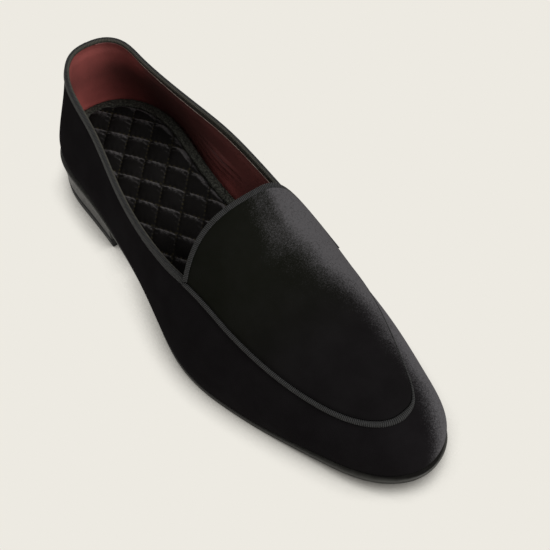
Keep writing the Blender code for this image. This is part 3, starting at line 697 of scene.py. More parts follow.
def edge_places():
    """Places and r round the top of the wall: collar outside, apron, collar inside. Then the apron's."""
    outer_u, inner_u = place_at(1, OUTER_CORNER), place_at(-1, INNER_CORNER)
    back_outer = spaced(0, outer_u, AROUND)
    seam_u = np.concatenate([spaced(outer_u, TOE, AROUND), spaced(TOE, inner_u, AROUND)[1:]])
    back_inner = spaced(inner_u, len(OUTLINE), AROUND)
    outer_top = collar_top(1, back_outer, OUTER_CORNER)
    inner_top = collar_top(-1, back_inner, INNER_CORNER)
    seam = apron_top(np.linspace(0, 2, len(seam_u)), outer_top[-1], inner_top[0])
    u = np.concatenate([back_outer[:-1], seam_u, back_inner[1:-1]])
    top = np.concatenate([outer_top[:-1], seam, inner_top[1:-1]])
    return u, top, seam_u, seam, outer_top[-1], inner_top[0]


def surface_normals(plan):
    """Normals of the upper's outer face over points in plan, from points a little to each side."""
    step = 0.0006
    right, left = surface_over(plan + [step, 0]), surface_over(plan - [step, 0])
    front, back = surface_over(plan + [0, step]), surface_over(plan - [0, step])
    return unit(np.cross(right - left, front - back))


def apron_loop(seam_u, seam, outer_r, inner_r):
    """Edge of the apron in plan: the seam, then the throat from its inner to its outer corner."""
    turn = np.linspace(0, np.pi / 2, AROUND // 2 + 1)
    throat = np.concatenate([throat_plan(-1, turn, INNER_CORNER, inner_r),
                             throat_plan(1, turn[::-1], OUTER_CORNER, outer_r)[1:]])
    throat = even_path(throat, AROUND)
    return np.concatenate([plan_point(seam_u, seam), throat[1:-1]]), throat


def even_path(path, count):
    """Points evenly far apart on a path, count steps in all."""
    steps = np.linalg.norm(np.diff(path, axis=0), axis=1)
    travelled = np.concatenate([[0], np.cumsum(steps)])
    wanted = np.linspace(0, travelled[-1], count + 1)
    return np.stack([np.interp(wanted, travelled, path[:, k]) for k in range(path.shape[1])], axis=1)


def disc_plan(loop, rings):
    """Rings of points in plan from near a loop's middle out to the loop."""
    middle = (loop.min(axis=0) + loop.max(axis=0)) / 2
    share = np.sin(np.linspace(0.04, np.pi / 2, rings))
    return middle + (loop - middle)[None] * share[:, None, None]


def shell_between(plan, low, high):
    """Closed pillow over rings in plan, from low to high along the surface's normals."""
    rings, around = plan.shape[:2]
    base = surface_over(plan.reshape(-1, 2)).reshape(rings, around, 3)
    normal = surface_normals(plan.reshape(-1, 2)).reshape(rings, around, 3)
    top = base + normal * np.broadcast_to(high, (rings, around))[..., None]
    bottom = base + normal * np.broadcast_to(low, (rings, around))[..., None]
    return np.concatenate([top, bottom[::-1]])


def frames_along(path, normals, below):
    """Outward and downward unit vectors along the edge of a surface."""
    out = unit(normals)
    down = below - path
    along = unit(np.gradient(path, axis=0))
    down = down - along * np.einsum("ij,ij->i", down, along)[:, None]
    down = unit(down - out * np.einsum("ij,ij->i", down, out)[:, None])
    return out, down


def swept(path, out, down, profiles):
    """Rings of the points of a profile, in the directions out and down, carried along a path."""
    return path[:, None] + out[:, None] * profiles[..., :1] + down[:, None] * profiles[..., 1:]


def distance_along(path):
    """Distance of each point of a path from its start."""
    return np.concatenate([[0], np.cumsum(np.linalg.norm(np.diff(path, axis=0), axis=1))])


def folded_ribbon(low, high, outside, inside):
    """Closed profile of a ribbon folded over an edge that lies between two offsets.

    Its middle line goes up the outside, over the edge on a flattened half circle and down the inside. Both
    faces lie half a ribbon from it, with the raw edges rounded.
    """
    half = RIBBON / 2
    outer, inner = high + GAP / 2 + half, low - GAP / 2 - half
    turn = np.linspace(0, np.pi, 17)
    bulge = np.sign(np.cos(turn)) * np.abs(np.cos(turn)) ** 0.7
    over = (outer + inner) / 2 + (outer - inner) / 2 * bulge
    line = np.concatenate([
        np.column_stack([np.full(8, outer), np.linspace(outside, 0, 9)[:-1]]),
        np.column_stack([over, -(GAP + half) * np.sin(turn) ** 0.8]),
        np.column_stack([np.full(6, inner), np.linspace(0, inside, 7)[1:]]),
    ])
    along = unit(np.gradient(line, axis=0))
    side = np.column_stack([-along[:, 1], along[:, 0]])
    thick = half * np.ones(len(line))
    thick[[0, -1]] = half * 0.45
    return np.concatenate([line + side * thick[:, None], (line - side * thick[:, None])[::-1]])


def slab_rings(outer_u, inner_u, layers, across):
    """Cross sections of a slab between the two sides of the feather line, from the heel forwards.

    A layer is an inset from the edge and a function that gives heights from distances. The first layer is the
    top and the last is the bottom, and both are carried across with that many points.
    """
    sides = []
    for u in (outer_u, inner_u):
        edge, normal = outline(u), outline_normal(u)
        reach = read(SOLE_MARGIN, np.mod(u, len(OUTLINE)))[0] * SOLE_REACH
        side = []
        for inset, height in layers:
            plan = edge + normal * (reach - inset)[:, None]
            side.append(np.column_stack([plan, height(plan[:, 1])]))
        sides.append(side)
    outer, inner = sides
    share = np.linspace(0, 1, across + 2)[1:-1]

    def between(first, last, height):
        rows = [first + (last - first) * s for s in share]
        for row in rows:
            row[:, 2] = height(row[:, 1])
        return rows

    loop = outer + between(outer[-1], inner[-1], layers[-1][1]) + inner[::-1]
    loop += between(inner[0], outer[0], layers[0][1])
    return np.stack(loop, axis=1)


def paired_places(count):
    """Places on the outer and the inner side at the same distances, from the very back to the very front."""
    u = np.linspace(-1, TOE + 1, 6001)
    y = outline(u)[:, 1]
    back, front = u[y.argmin()], u[y.argmax()]
    wanted = y.min() + (y.max() - y.min()) * (1 - np.cos(np.linspace(0, np.pi, count + 1))) / 2
    sides = []
    for start in (back, back + len(OUTLINE)):
        u = start + (front - start) * (1 - np.cos(np.linspace(0, np.pi, 2001))) / 2
        sides.append(np.interp(wanted, np.maximum.accumulate(outline(u)[:, 1]), u))
    return sides


def add_tube(name, rings, look, node, values=None):
    """Piece of one closed tube, which replaces a node unless that is empty.

    The poles carry the first and the last of the values.
    """
    values = {key: np.append(value, np.ravel(value)[[0, -1]]) for key, value in (values or {}).items()}
    piece = add_piece(name, [(*closed_tube(rings), 0)], [look], values)
    if node:
        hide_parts(node)
    return piece


def make_sole(look):
    """Outsole: cross sections with a rounded top layer, a groove under it and a rounded lower edge."""
    inset, depth = columns(SOLE_EDGE)
    layers = [(back, lambda y, down=down: seat_height(y) - GAP - down) for back, down in zip(inset, depth)]
    layers[-1] = (inset[-1], ground_height)
    outer_u, inner_u = paired_places(200)
    rings = slab_rings(outer_u, inner_u, layers, SOLE_ACROSS)
    middle = np.ones(SOLE_ACROSS)
    depth = np.concatenate([depth, middle, depth[::-1], middle])
    y = rings[..., 1] / LENGTH
    # Painted highlight along the top rim of the edge, fullest at the heel and at the toe
    toe, heel = smooth_step((y - RIM_HIGHLIGHT_TOE) / 0.22), smooth_step(1 - (y - RIM_HIGHLIGHT_HEEL) / 0.15)
    highlit = RIM_HIGHLIGHT_WAIST + (1 - RIM_HIGHLIGHT_WAIST) * np.maximum(toe, heel)
    rim_highlight = smooth_step(1.4 - depth / HIGHLIGHT_RIM_DEPTH)[None] * highlit
    add_tube("outsole_edge", rings, look, "outsole", {"rim_highlight": rim_highlight})


def make_heel(look_block, look_lift):
    """Heel block with a waist of a fraction of a millimetre, and the top lift under it."""
    y = HEEL_BREAST * (1 - np.cos(np.linspace(0, np.pi / 2, 90)))
    outer_u, inner_u = place_at(1, y), place_at(-1, y)

    def tapered(height, drop=0.0):
        return HEEL_INSET + HEEL_TAPER * (1 - height / HEEL_RISE) + drop

    def level(height):
        return lambda at: np.full(len(at), height)

    def under_sole(height):
        return lambda at: np.minimum(ground_height(at) - 2 * GAP, height)

    block = [(tapered(HEEL_RISE), lambda at: ground_height(at) - GAP)]
    for height in np.linspace(0.85 * HEEL_RISE, TOP_LIFT + 3 * GAP, 6):
        block.append((tapered(height, HEEL_WAIST), under_sole(height)))
    block.append((tapered(TOP_LIFT, HEEL_GROOVE), level(TOP_LIFT + GAP)))
    lift = [(tapered(TOP_LIFT, HEEL_GROOVE), level(TOP_LIFT)),
            (tapered(TOP_LIFT), level(TOP_LIFT - GAP)),
            (tapered(LIFT_ROUNDING), level(LIFT_ROUNDING)),
            (tapered(0.0, LIFT_TUCK), level(0.0))]
    for name, layers, look, node, slot in (("heel_stack", block, look_block, "heel_block", "sole_edge"),
                                           ("heel_lift", lift, look_lift, "top_lift", "rubber")):
        add_tube(name, slab_rings(outer_u, inner_u, layers, HEEL_ACROSS), look, node)


def insole_edge(inset):
    """Points in plan on the outer and the inner side at an inset from the feather line."""
    sides = []
    for u in paired_places(PAD_ALONG):
        edge = outline(u)
        ahead = (edge[:, 1] / LENGTH - INSOLE_TOE_START) / (1 - INSOLE_TOE_START)
        room = INSOLE_TOE_ROOM * np.clip(ahead, 0, 1)
        sides.append(edge - outline_normal(u) * (inset + room)[:, None])
    return sides


def insole_top(y):
    """Height of the top of the insole at the distance y, which is cushioned at the heel."""
    cushion = 1 + HEEL_CUSHION * smooth_step(1 - y / (HEEL_CUSHION_END * LENGTH))
    return seat_height(y) + INSOLE_THICKNESS * cushion


def quilt_counts(plan):
    """Places counted in steps along both sets of lines, which run where a count is whole."""
    return (plan - QUILT_PLACE) @ np.linalg.inv([QUILT_ROW_STEP, QUILT_SIDE_STEP])


def quilting(plan):
    """Height of the quilting, which sinks to 0 along both sets of lines.

    A puff is the root of the product of the sines of both counts. Each cell has its own share of the height,
    and waves across the lines pucker it near them.
    """
    counts = quilt_counts(plan)
    waves = np.abs(np.sin(np.pi * counts))
    cell = np.floor(counts)
    uneven = 1 + QUILT_UNEVEN * np.sin(12.9 * cell[:, 0] + 78.2 * cell[:, 1])
    pucker = np.cos(2 * np.pi * QUILT_PUCKERS * counts[:, ::-1] + 3 * cell) * bell(waves, 0.35, 0.30)
    puff = uneven * (waves[:, 0] * waves[:, 1]) ** 0.5
    return QUILT_PUFF * (puff + QUILT_PUCKER_DEPTH * pucker.sum(axis=1))


def make_insole(look):
    """Padded insole: a board with straight sides and the quilted field on it.

    The field is a grid between its two sides with the quilting added to its height, which fades out at the
    ribbon.
    """
    outer, inner = insole_edge(INSOLE_INSET)
    far_outer, far_inner = insole_edge(INSOLE_INSET + INSOLE_RIBBON_WIDTH - BORDER_COVER)
    share = np.linspace(0, 1, PAD_ACROSS)
    rings = []
    for k in range(len(outer)):
        across = far_inner[k] - far_outer[k]
        plan = far_outer[k] + across * share[:, None]
        edge = np.minimum(share, 1 - share) * np.linalg.norm(across)
        end = min(k, len(outer) - 1 - k) / PAD_END
        soft = smooth_step(edge / 0.005) * min(1, end)
        height = insole_top(plan[:, 1]) - BORDER_COVER + (quilting(plan) + BORDER_COVER) * soft
        side = np.array([outer[k], outer[k], inner[k], inner[k]])
        low = seat_height(side[:, 1])
        wall = np.column_stack([side, low + (insole_top(side[:, 1]) - BORDER_COVER - low) * [1, 0, 0, 1]])
        rings.append(np.concatenate([wall[3:], np.column_stack([plan, height])[::-1], wall[:3]]))
    rings = np.array(rings)
    # Painted sheen of the quilting: lighter where its slopes turn towards INSOLE_SHEEN_DIRECTION
    normals = grid_normals(rings, True)
    normals = normals * np.sign(normals[..., 2:])
    low, high = INSOLE_SHEEN_RANGE
    counts = quilt_counts(rings[..., :2])
    values = {"painted_sheen": (normals @ np.array(INSOLE_SHEEN_DIRECTION) - low) / (high - low), "row": counts[..., 0],
              "side": counts[..., 1]}
    pad = add_tube("quilted_insole", rings, look, "insole", values)


def make_insole_ribbon(look):
    """Ribbon round the top of the insole, domed across its width and closed underneath."""
    across = np.linspace(0, 1, 13)
    dome = BORDER_DOME * np.sqrt(np.clip(1 - (2 * across - 1) ** 4, 0, 1)) - GAP
    loops = []
    for share, rise in [*zip(across, dome), *((share, -BORDER_BACK) for share in across[-2:0:-1])]:
        outer, inner = insole_edge(INSOLE_INSET + GAP + (INSOLE_RIBBON_WIDTH - GAP) * share)
        plan = np.concatenate([outer, inner[1:-1][::-1]])
        loops.append(np.column_stack([plan, insole_top(plan[:, 1]) + rise]))
    loops = np.array(loops)
    quads = grid_quads(*loops.shape[:2], True, closed_rows=True)
    border = add_piece("insole_border", [(loops.reshape(-1, 3), quads, NO_TRIANGLES, 0)], [look])
    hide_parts("insole_binding")


def lining_folds(grid):
    """Soft folds along the lining of the inner side, at the waist: bells across their height and along them.

    1 is the crest of a fold and less than 0 its trough.
    """
    y, height = grid[..., 1], grid[..., 2]
    level = height - CREASE_HEIGHT + CREASE_SLANT * (y - CREASE_PLACE)
    folds = sum(share * bell(level, place, CREASE_WIDTH) * bell(y, middle, CREASE_LENGTH)
                for share, place, middle in LINING_FOLDS)
    return folds * smooth_step((-grid[..., 0] - 0.005) / 0.01)


def painted_lining_light(points):
    """Painted light and shade of the lining: by its tables, with a painted highlight at the rim of the heel.
    """
    y, z = points[..., 1], points[..., 2]
    rim_highlight = 0.30 * bell(y, 0.018, 0.012) * smooth_step((z - 0.056) / 0.014)
    glow = sum(share * bell(y, place, reach) * bell(z, height, tall)
               for share, place, reach, height, tall in LINING_PAINTED_GLOWS)
    return np.interp(y / LENGTH, *columns(LINING_PAINTED_LIGHT)) + rim_highlight + glow


def upper_painted_sheen(normals, y):
    """Painted sheen of the upper's pile, from how far its normals turn towards UPPER_SHEEN_DIRECTION: 0 where
    it is dark, 1 where it is lightest.
    """
    along, low, high = columns(UPPER_SHEEN_RANGE)
    low, high = np.interp(y, along * LENGTH, low), np.interp(y, along * LENGTH, high)
    return (normals @ np.array(UPPER_SHEEN_DIRECTION) - low) / (high - low)


def plug_warmth(plan):
    """How much the plug's black leans to olive: 1 behind and outside, 0 towards the toe and inside."""
    ahead = (plan[..., 1] - OLIVE_FRONT) / 0.055
    inside = (-plan[..., 0] - OLIVE_INSIDE) / 0.025
    return smooth_step(1 - np.maximum(ahead, 0)) * smooth_step(1 - np.maximum(inside, 0))


def skived_wall(distance, share=1.0):
    """Thickness of the wall at a distance from an edge, thin where a ribbon is folded over it."""
    skiving = smooth_step(1 - (distance - SKIVE_WIDTH) / SKIVE_SLOPE)
    return WALL - (WALL - EDGE_WALL) * skiving * share


def upper_form():
    """Grid of the upper's outer face with its normals, and the plan of the apron's edge and of the throat."""
    u, top, seam_u, seam, outer_r, inner_r = edge_places()
    grid = wall_grid(u, top, DOWN)
    normal = grid_normals(grid, True)
    if np.einsum("ijk,ijk->", normal, grid - grid.mean(axis=(0, 1))) < 0:
        normal = -normal
    return grid, normal, *apron_loop(seam_u, seam, outer_r, inner_r)


def make_shell(grid, normal, loop, throat, looks):
    """Shell of the upper, and under the plug the vamp as a thin closed pillow.

    The wall is a closed sheet: the outer face from the edge down to the feather line, and the inner face, one
    wall inside it along the normals, back up. It is skived along the collar, but not along the apron.
    """
    around = grid.shape[1]
    along_apron = np.arange(2 * AROUND + 1)
    at_collar = np.ones(around)
    at_collar[AROUND:3 * AROUND + 1] = smooth_step(1 - np.minimum(along_apron, along_apron[::-1]) / 8)
    steps = np.linalg.norm(np.diff(grid, axis=0), axis=2)
    depth = np.concatenate([np.zeros((1, around)), np.cumsum(steps, axis=0)])
    stiffener = STIFFENER * np.linspace(0, 1, DOWN + 1)[:, None] ** 2
    folds = lining_folds(grid)
    inner = grid - normal * (skived_wall(depth, at_collar) + stiffener + CREASE_DEPTH * folds)[..., None]
    sheet = np.concatenate([grid, inner[::-1]])
    quads = grid_quads(len(sheet), around, True, closed_rows=True)
    inside = np.repeat(np.arange(len(sheet)) >= DOWN, around).astype(int)
    inside[-around:] = 0

    plan = disc_plan(loop, 16)
    nearest = np.min(np.linalg.norm(plan[:, :, None] - throat[None, None, ::6], axis=3), axis=2)
    points, vamp_quads, vamp_fans = closed_tube(shell_between(plan, -skived_wall(nearest), VAMP_RISE))
    half = len(vamp_quads) // 2
    vamp_looks = np.repeat([0, 1, 0, 1], [half, len(vamp_quads) - half, *[len(vamp_fans) // 2] * 2])

    # Painted sheen of the velvet, from the directions of the outer face's normals; the lining's face carries
    # it too but does not use it
    painted_sheen = np.concatenate([np.tile(upper_painted_sheen(normal, grid[..., 1]).ravel(), 2), np.zeros(len(points))])
    # Painted light on the folds' crests and painted shade in their troughs, on top of the lining's painted
    # light
    painted_light = painted_lining_light(sheet) + CREASE_PAINTED_LIGHT * np.concatenate([folds, folds[::-1]])
    painted_light = np.concatenate([painted_light.ravel(), painted_lining_light(points)])
    shell = add_piece("upper_shell", [(sheet.reshape(-1, 3), quads, NO_TRIANGLES, inside),
                                      (points, vamp_quads, vamp_fans, vamp_looks)], looks,
                      {"painted_light": painted_light, "painted_sheen": painted_sheen})
    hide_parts("upper")


def make_plug(loop, look):
    """Plug on the vamp: a closed pillow that swells between its edges, most beside the throat's inner end."""
    plan = disc_plan(loop, RINGS)
    inward = np.linalg.norm(plan - loop[None], axis=2)
    inner_side = smooth_step((-plan[..., 0] - 0.012) / 0.012)
    swell = PLUG_SWELL * bell(plan[..., 1], PLUG_SWELL_PLACE, 0.015) * inner_side * bell(inward, 0.003, 0.010)
    soft = PLUG_SOFTNESS * smooth_step(inward / 0.012) - PLUG_GROOVE * bell(inward, 0, 0.0009)
    rings = shell_between(plan, GAP, GAP + PLUG_THICKNESS + soft + swell)
    # Painted sheen of the plug, from the normals of the face under it
    painted_sheen = upper_painted_sheen(surface_normals(plan.reshape(-1, 2)), plan[..., 1].ravel()).reshape(len(plan), -1)
    warm = plug_warmth(plan)
    values = {"painted_sheen": np.concatenate([painted_sheen, painted_sheen[::-1]]), "warm": np.concatenate([warm, warm[::-1]])}
    add_tube("apron_plug", rings, look, "vamp_plug", values)


def make_piping(grid, normal, look):
    """Ribbon cord along the apron's seam, widest at the toe and thin and low on the inner side."""
    seam = np.arange(AROUND, 3 * AROUND + 1)
    path = grid[0, seam]
    out, down = frames_along(path, normal[0, seam], grid[1, seam])
    way = np.linspace(-1, 1, len(path))
    wide = PIPING_SIDE_WIDTH + (PIPING_TOE_WIDTH - PIPING_SIDE_WIDTH) * (1 - np.abs(way)) ** 3
    left = 1 - (1 - PIPING_INNER_SHARE) * smooth_step(way / 0.3)
    turn = np.linspace(0, np.pi, 13)
    rise, across = PIPING_HEIGHT * np.sin(turn) ** 0.6, np.append((1 - np.cos(turn)) / 2, 0.5)
    profiles = np.stack([np.column_stack([np.append(PIPING_FOOT + h * rise, 0), GAP + w * h * across])
                         for w, h in zip(wide, left)])
    add_band("apron_ribbon_piping", path, out, down, profiles, look, "apron_piping")


def make_collar_ribbon(grid, normal, look, look_cut):
    """Ribbon folded over the collar, and the lining's cut edge, a thin cord under it on the inner side."""
    collar = np.concatenate([np.arange(3 * AROUND, 4 * AROUND), np.arange(0, AROUND + 1)])
    path = grid[0, collar]
    out, down = frames_along(path, normal[0, collar], grid[1, collar])
    widening = smooth_step((path[:, 1] - 0.012) / 0.060)
    inside = COLLAR_INSIDE_HEEL + (COLLAR_INSIDE_WAIST - COLLAR_INSIDE_HEEL) * widening
    profiles = np.stack([folded_ribbon(-EDGE_WALL, 0, COLLAR_RIBBON_WIDTH, width) for width in inside])
    add_band("collar_ribbon", path, out, down, profiles, look, "collar_binding")
    turn = np.linspace(0, 2 * np.pi, 9)[:-1]
    cord = np.stack([np.column_stack([CUT_EDGE * (np.cos(turn) - 2) - EDGE_WALL,
                                      CUT_EDGE * (np.sin(turn) + 2) + width]) for width in inside])
    shown = slice(AROUND // 6, AROUND - 4)
    add_band("lining_cut_edge", path[shown], out[shown], down[shown], cord[shown], look_cut, "")


def make_throat_ribbon(loop, throat, look):
    """Ribbon folded over the throat's edge and the plug on it."""
    middle = (loop.min(axis=0) + loop.max(axis=0)) / 2
    path = surface_over(throat)
    below = surface_over(throat + unit(middle - throat) * 0.002)
    out, down = frames_along(path, surface_normals(throat), below)
    profile = folded_ribbon(-EDGE_WALL, GAP + PLUG_THICKNESS, THROAT_RIBBON_WIDTH, BINDING_INSIDE)
    profiles = np.broadcast_to(profile, (len(path), *profile.shape))
    add_band("throat_ribbon", path, out, down, profiles, look, "throat_binding")


def add_band(name, path, out, down, profiles, look, node):
    """Band of a profile carried along a path, with its distance along the path for the ribs."""
    rings = swept(path, out, down, profiles)
    along = np.repeat(distance_along(path), rings.shape[1])
    inside = (profiles[..., 0] < -EDGE_WALL / 2).astype(float)
    add_tube(name, rings, look, node, {"along": along, "inside": inside})


def feed(tree, sockets, values):
    """Join each value to its socket, or set the socket where the value is a plain one."""
    for key, value in values.items():
        if isinstance(value, bpy.types.NodeSocket):
            tree.links.new(value, sockets[key])
        else:
            sockets[key].default_value = (*value[:3], 1) if sockets[key].type == "RGBA" else value


def add_node(tree, kind, inputs=None, **settings):
    """Node with its settings, and with its inputs set to values or joined to other sockets."""
    made = tree.nodes.new(kind)
    for key, value in settings.items():
        setattr(made, key, value)
    feed(tree, made.inputs, inputs or {})
    return made


def new_look(name):
    """Material with a Principled shader, its node tree and the shader's inputs."""
    made = bpy.data.materials.new(name)
    made.use_nodes = True
    return made, made.node_tree, made.node_tree.nodes["Principled BSDF"].inputs


def object_place(tree):
    """Object coordinates."""
    return add_node(tree, "ShaderNodeTexCoord").outputs["Object"]


def noise(tree, place, scale, detail=3.0, roughness=0.5):
    """Noise by size: scale is in waves per metre."""
    inputs = {"Vector": place, "Scale": scale, "Detail": detail, "Roughness": roughness}
    return add_node(tree, "ShaderNodeTexNoise", inputs).outputs["Fac"]


def maths(tree, operation, first, second=0.0):
    """Sum, product or other operation of two numbers."""
    return add_node(tree, "ShaderNodeMath", {0: first, 1: second}, operation=operation).outputs[0]


def ranged(tree, value, low, high, to_low, to_high):
    """Value carried from one range to another."""
    inputs = {"Value": value, "From Min": low, "From Max": high, "To Min": to_low, "To Max": to_high}
    return add_node(tree, "ShaderNodeMapRange", inputs).outputs["Result"]


def mixed(tree, share, first, second):
    """Colour between two colours."""
    return add_node(tree, "ShaderNodeMix", {0: share, 6: first, 7: second}, data_type="RGBA").outputs[2]


def bumped(tree, height, strength, distance):
    """Normal from a height."""
    inputs = {"Height": height, "Strength": strength, "Distance": distance}
    return add_node(tree, "ShaderNodeBump", inputs).outputs["Normal"]


def attribute(tree, name):
    """Number that the vertices carry."""
    made = add_node(tree, "ShaderNodeAttribute", attribute_name=name, attribute_type="GEOMETRY")
    return made.outputs["Fac"]


def new_group(name, inputs, outputs):
    """Empty shader node group with named sockets, its inputs' sockets and its output node."""
    group = bpy.data.node_groups.new(name, "ShaderNodeTree")
    for in_out, sockets in (("INPUT", inputs), ("OUTPUT", outputs)):
        for socket, kind in sockets.items():
            group.interface.new_socket(socket, in_out=in_out, socket_type="NodeSocket" + kind)
    return group, add_node(group, "NodeGroupInput").outputs, add_node(group, "NodeGroupOutput").inputs


def pile_group():
    """Short pile: dark, with painted sheen, light and grainy, where the Painted Sheen input is high, and in
    broad patches a trace lighter.
    """
    sockets = {"Place": "Vector", "Painted Sheen": "Float", "Dark": "Color", "Light": "Color"}
    group, given, result = new_group("pile", sockets, {"Color": "Color", "Height": "Float"})
    grain = noise(group, given["Place"], 2100, 2, 0.75)
    tufts = noise(group, given["Place"], 1100, 2, 0.8)
    patches = noise(group, given["Place"], 60, 3, 0.6)
    grain_shift = ranged(group, grain, 0.25, 0.75, -0.32, 0.32)
    tuft_shift = ranged(group, tufts, 0.25, 0.75, -0.10, 0.10)
    patch_shift = ranged(group, patches, 0.3, 0.7, -0.10, 0.10)
    turned = given["Painted Sheen"]
    for shift in (grain_shift, tuft_shift, patch_shift):
        turned = maths(group, "ADD", turned, shift)
    share = add_node(group, "ShaderNodeMapRange", {"Value": turned}, interpolation_type="SMOOTHSTEP")
    share = maths(group, "MULTIPLY", share.outputs["Result"], ranged(group, tufts, 0.30, 0.70, 0.58, 1.40))
    share = maths(group, "ADD", share, ranged(group, patches, 0.35, 0.65, 0.0, 0.024))
    feed(group, result, {"Color": mixed(group, share, given["Dark"], given["Light"]),
                         "Height": maths(group, "ADD", grain, tufts)})
    return group


def add_pile(tree, group, dark, light):
    """Pile group in a material, with its two colours: its dark and its painted sheen."""
    inputs = {"Place": object_place(tree), "Painted Sheen": attribute(tree, "painted_sheen"), "Dark": dark, "Light": light}
    return add_node(tree, "ShaderNodeGroup", inputs, node_tree=group).outputs


def finish_velvet(tree, shader, colour, height):
    """Surface of velvet: rough, with no gloss and a trace of sheen."""
    feed(tree, shader, {"Base Color": colour, "Normal": bumped(tree, height, 0.35, 0.0003), "Roughness": 0.9,
                        "Specular IOR Level": 0.0, "Sheen Weight": 0.01, "Sheen Roughness": 0.35,
                        "Sheen Tint": (0.9, 0.86, 0.92)})


def velvet_look(name, group, colours):
    """Black velvet with painted sheen where its vertices' painted_sheen is high. The dark of the pile leans
    to olive where the vertices say so.
    """
    made, tree, shader = new_look(name)
    dark = mixed(tree, attribute(tree, "warm"), colours[0], OLIVE_BLACK)
    pile = add_pile(tree, group, dark, colours[1])
    finish_velvet(tree, shader, pile["Color"], pile["Height"])
    return made


def quilt_look(group):
    """Quilted velvet with painted sheen on the puffs' slopes that turn towards INSOLE_SHEEN_DIRECTION, and
    lines of olive stitches, short dashes along both sets of lines.
    """
    made, tree, shader = new_look("quilted velvet")
    pile = add_pile(tree, group, *QUILT_AND_SHEEN)
    counts = [attribute(tree, "row"), attribute(tree, "side")]
    marks = []
    for line, along, step in ((0, 1, QUILT_SIDE_STEP), (1, 0, QUILT_ROW_STEP)):
        beside = maths(tree, "PINGPONG", counts[line], 0.5)
        dash = maths(tree, "MULTIPLY", counts[along], 2 * np.pi * np.hypot(*step) / QUILT_STITCH)
        dash = ranged(tree, maths(tree, "SINE", dash), -0.3, 0.5, 0.0, 1.0)
        marks.append(maths(tree, "MULTIPLY", ranged(tree, beside, 0.022, 0.048, 1.0, 0.0), dash))
    sunk = ranged(tree, noise(tree, object_place(tree), 160, 2), 0.35, 0.65, 0.1, 0.75)
    stitched = maths(tree, "MULTIPLY", maths(tree, "MAXIMUM", *marks), sunk)
    finish_velvet(tree, shader, mixed(tree, stitched, pile["Color"], THREAD), pile["Height"])
    return made


def ribbon_look():
    """Black ribbon with ribs across it, with painted shade in their troughs and painted light on their
    crests, and lighter and warmer on the side that is turned inside.
    """
    made, tree, shader = new_look("ribbed ribbon")
    wave = maths(tree, "SINE", maths(tree, "MULTIPLY", attribute(tree, "along"), 2 * np.pi / RIB_PITCH))
    wear = noise(tree, object_place(tree), 420, 3, 0.7)
    wear = ranged(tree, wear, 0.3, 0.7, 0.6, 1.2)
    # Painted shade and light of the ribs: the colour follows the wave of their bump, with a random unevenness
    share = maths(tree, "MULTIPLY", ranged(tree, wave, -1, 1, 0.10, 1.05), wear)
    sides = [mixed(tree, share, *colours) for colours in (RIBBON_OUTSIDE, RIBBON_INSIDE)]
    feed(tree, shader, {"Base Color": mixed(tree, attribute(tree, "inside"), *sides), "Roughness": 0.6,
                        "Normal": bumped(tree, wave, 0.9, 0.0003), "Specular IOR Level": 0.2})
    return made


def border_look():
    """Dark woven ribbon round the insole, speckled with lighter threads."""
    made, tree, shader = new_look("insole ribbon")
    speckle = noise(tree, object_place(tree), 1300, 2, 0.75)
    share = ranged(tree, speckle, 0.45, 0.62, 0.0, 1.0)
    feed(tree, shader, {"Base Color": mixed(tree, share, *INSOLE_RIBBON), "Roughness": 0.8,
                        "Normal": bumped(tree, speckle, 0.7, 0.0003), "Specular IOR Level": 0.15})
    return made


def lining_look():
    """Burgundy leather with a fine grain and painted light and shade: lighter round the heel than along the
    waist.
    """
    made, tree, shader = new_look("lining leather")
    place = object_place(tree)
    cloud = noise(tree, place, 70, 3, 0.6)
    grain = add_node(tree, "ShaderNodeTexVoronoi", {"Vector": place, "Scale": 900.0}).outputs["Distance"]
    # Painted light and shade of the lining, with a random cloud in it
    share = maths(tree, "MULTIPLY", attribute(tree, "painted_light"), ranged(tree, cloud, 0.3, 0.7, 0.75, 1.15))
    feed(tree, shader, {"Base Color": mixed(tree, share, *LINING_SHADE_AND_LIGHT), "Roughness": 0.5,
                        "Normal": bumped(tree, grain, 0.25, 0.0002), "Specular IOR Level": 0.3})
    return made


def cut_edge_look():
    """Raw cut edge of the lining: cream along the waist and dyed pink round the heel."""
    made, tree, shader = new_look("cut edge of the lining")
    spots = noise(tree, object_place(tree), 260, 3, 0.7)
    waist = ranged(tree, attribute(tree, "along"), 0.115, 0.135, 1.0, 0.0)
    share = maths(tree, "MULTIPLY", ranged(tree, spots, 0.42, 0.62, 0.35, 1.0), waist)
    feed(tree, shader, {"Base Color": mixed(tree, share, *PINK_AND_CREAM), "Roughness": 0.7,
                        "Normal": bumped(tree, spots, 0.3, 0.0002)})
    return made


def edge_look():
    """Dressed sole edge, with a painted highlight along its top rim, broken up by random wear."""
    made, tree, shader = new_look("sole edge")
    wear = noise(tree, object_place(tree), 260, 4, 0.6)
    share = maths(tree, "MULTIPLY", attribute(tree, "rim_highlight"), ranged(tree, wear, 0.3, 0.7, 0.6, 1.1))
    feed(tree, shader, {"Base Color": mixed(tree, share, *SOLE_DRESSING_AND_HIGHLIGHT),
                        "Roughness": ranged(tree, wear, 0.3, 0.7, 0.40, 0.58),
                        "Normal": bumped(tree, wear, 0.2, 0.0002), "Specular IOR Level": 0.3})
    return made


def plain_black_look(name, colour, roughness, scale):
    """Black with a fine unevenness in colour, gloss and surface."""
    made, tree, shader = new_look(name)
    uneven = noise(tree, object_place(tree), scale, 4, 0.6)
    lighter = tuple(2.2 * value for value in colour)
    feed(tree, shader, {"Base Color": mixed(tree, ranged(tree, uneven, 0.3, 0.75, 0, 1), colour, lighter),
                        "Normal": bumped(tree, uneven, 0.25, 0.0003),
                        "Roughness": ranged(tree, uneven, 0.3, 0.7, roughness - 0.08, roughness + 0.08),
                        "Specular IOR Level": 0.25})
    return made


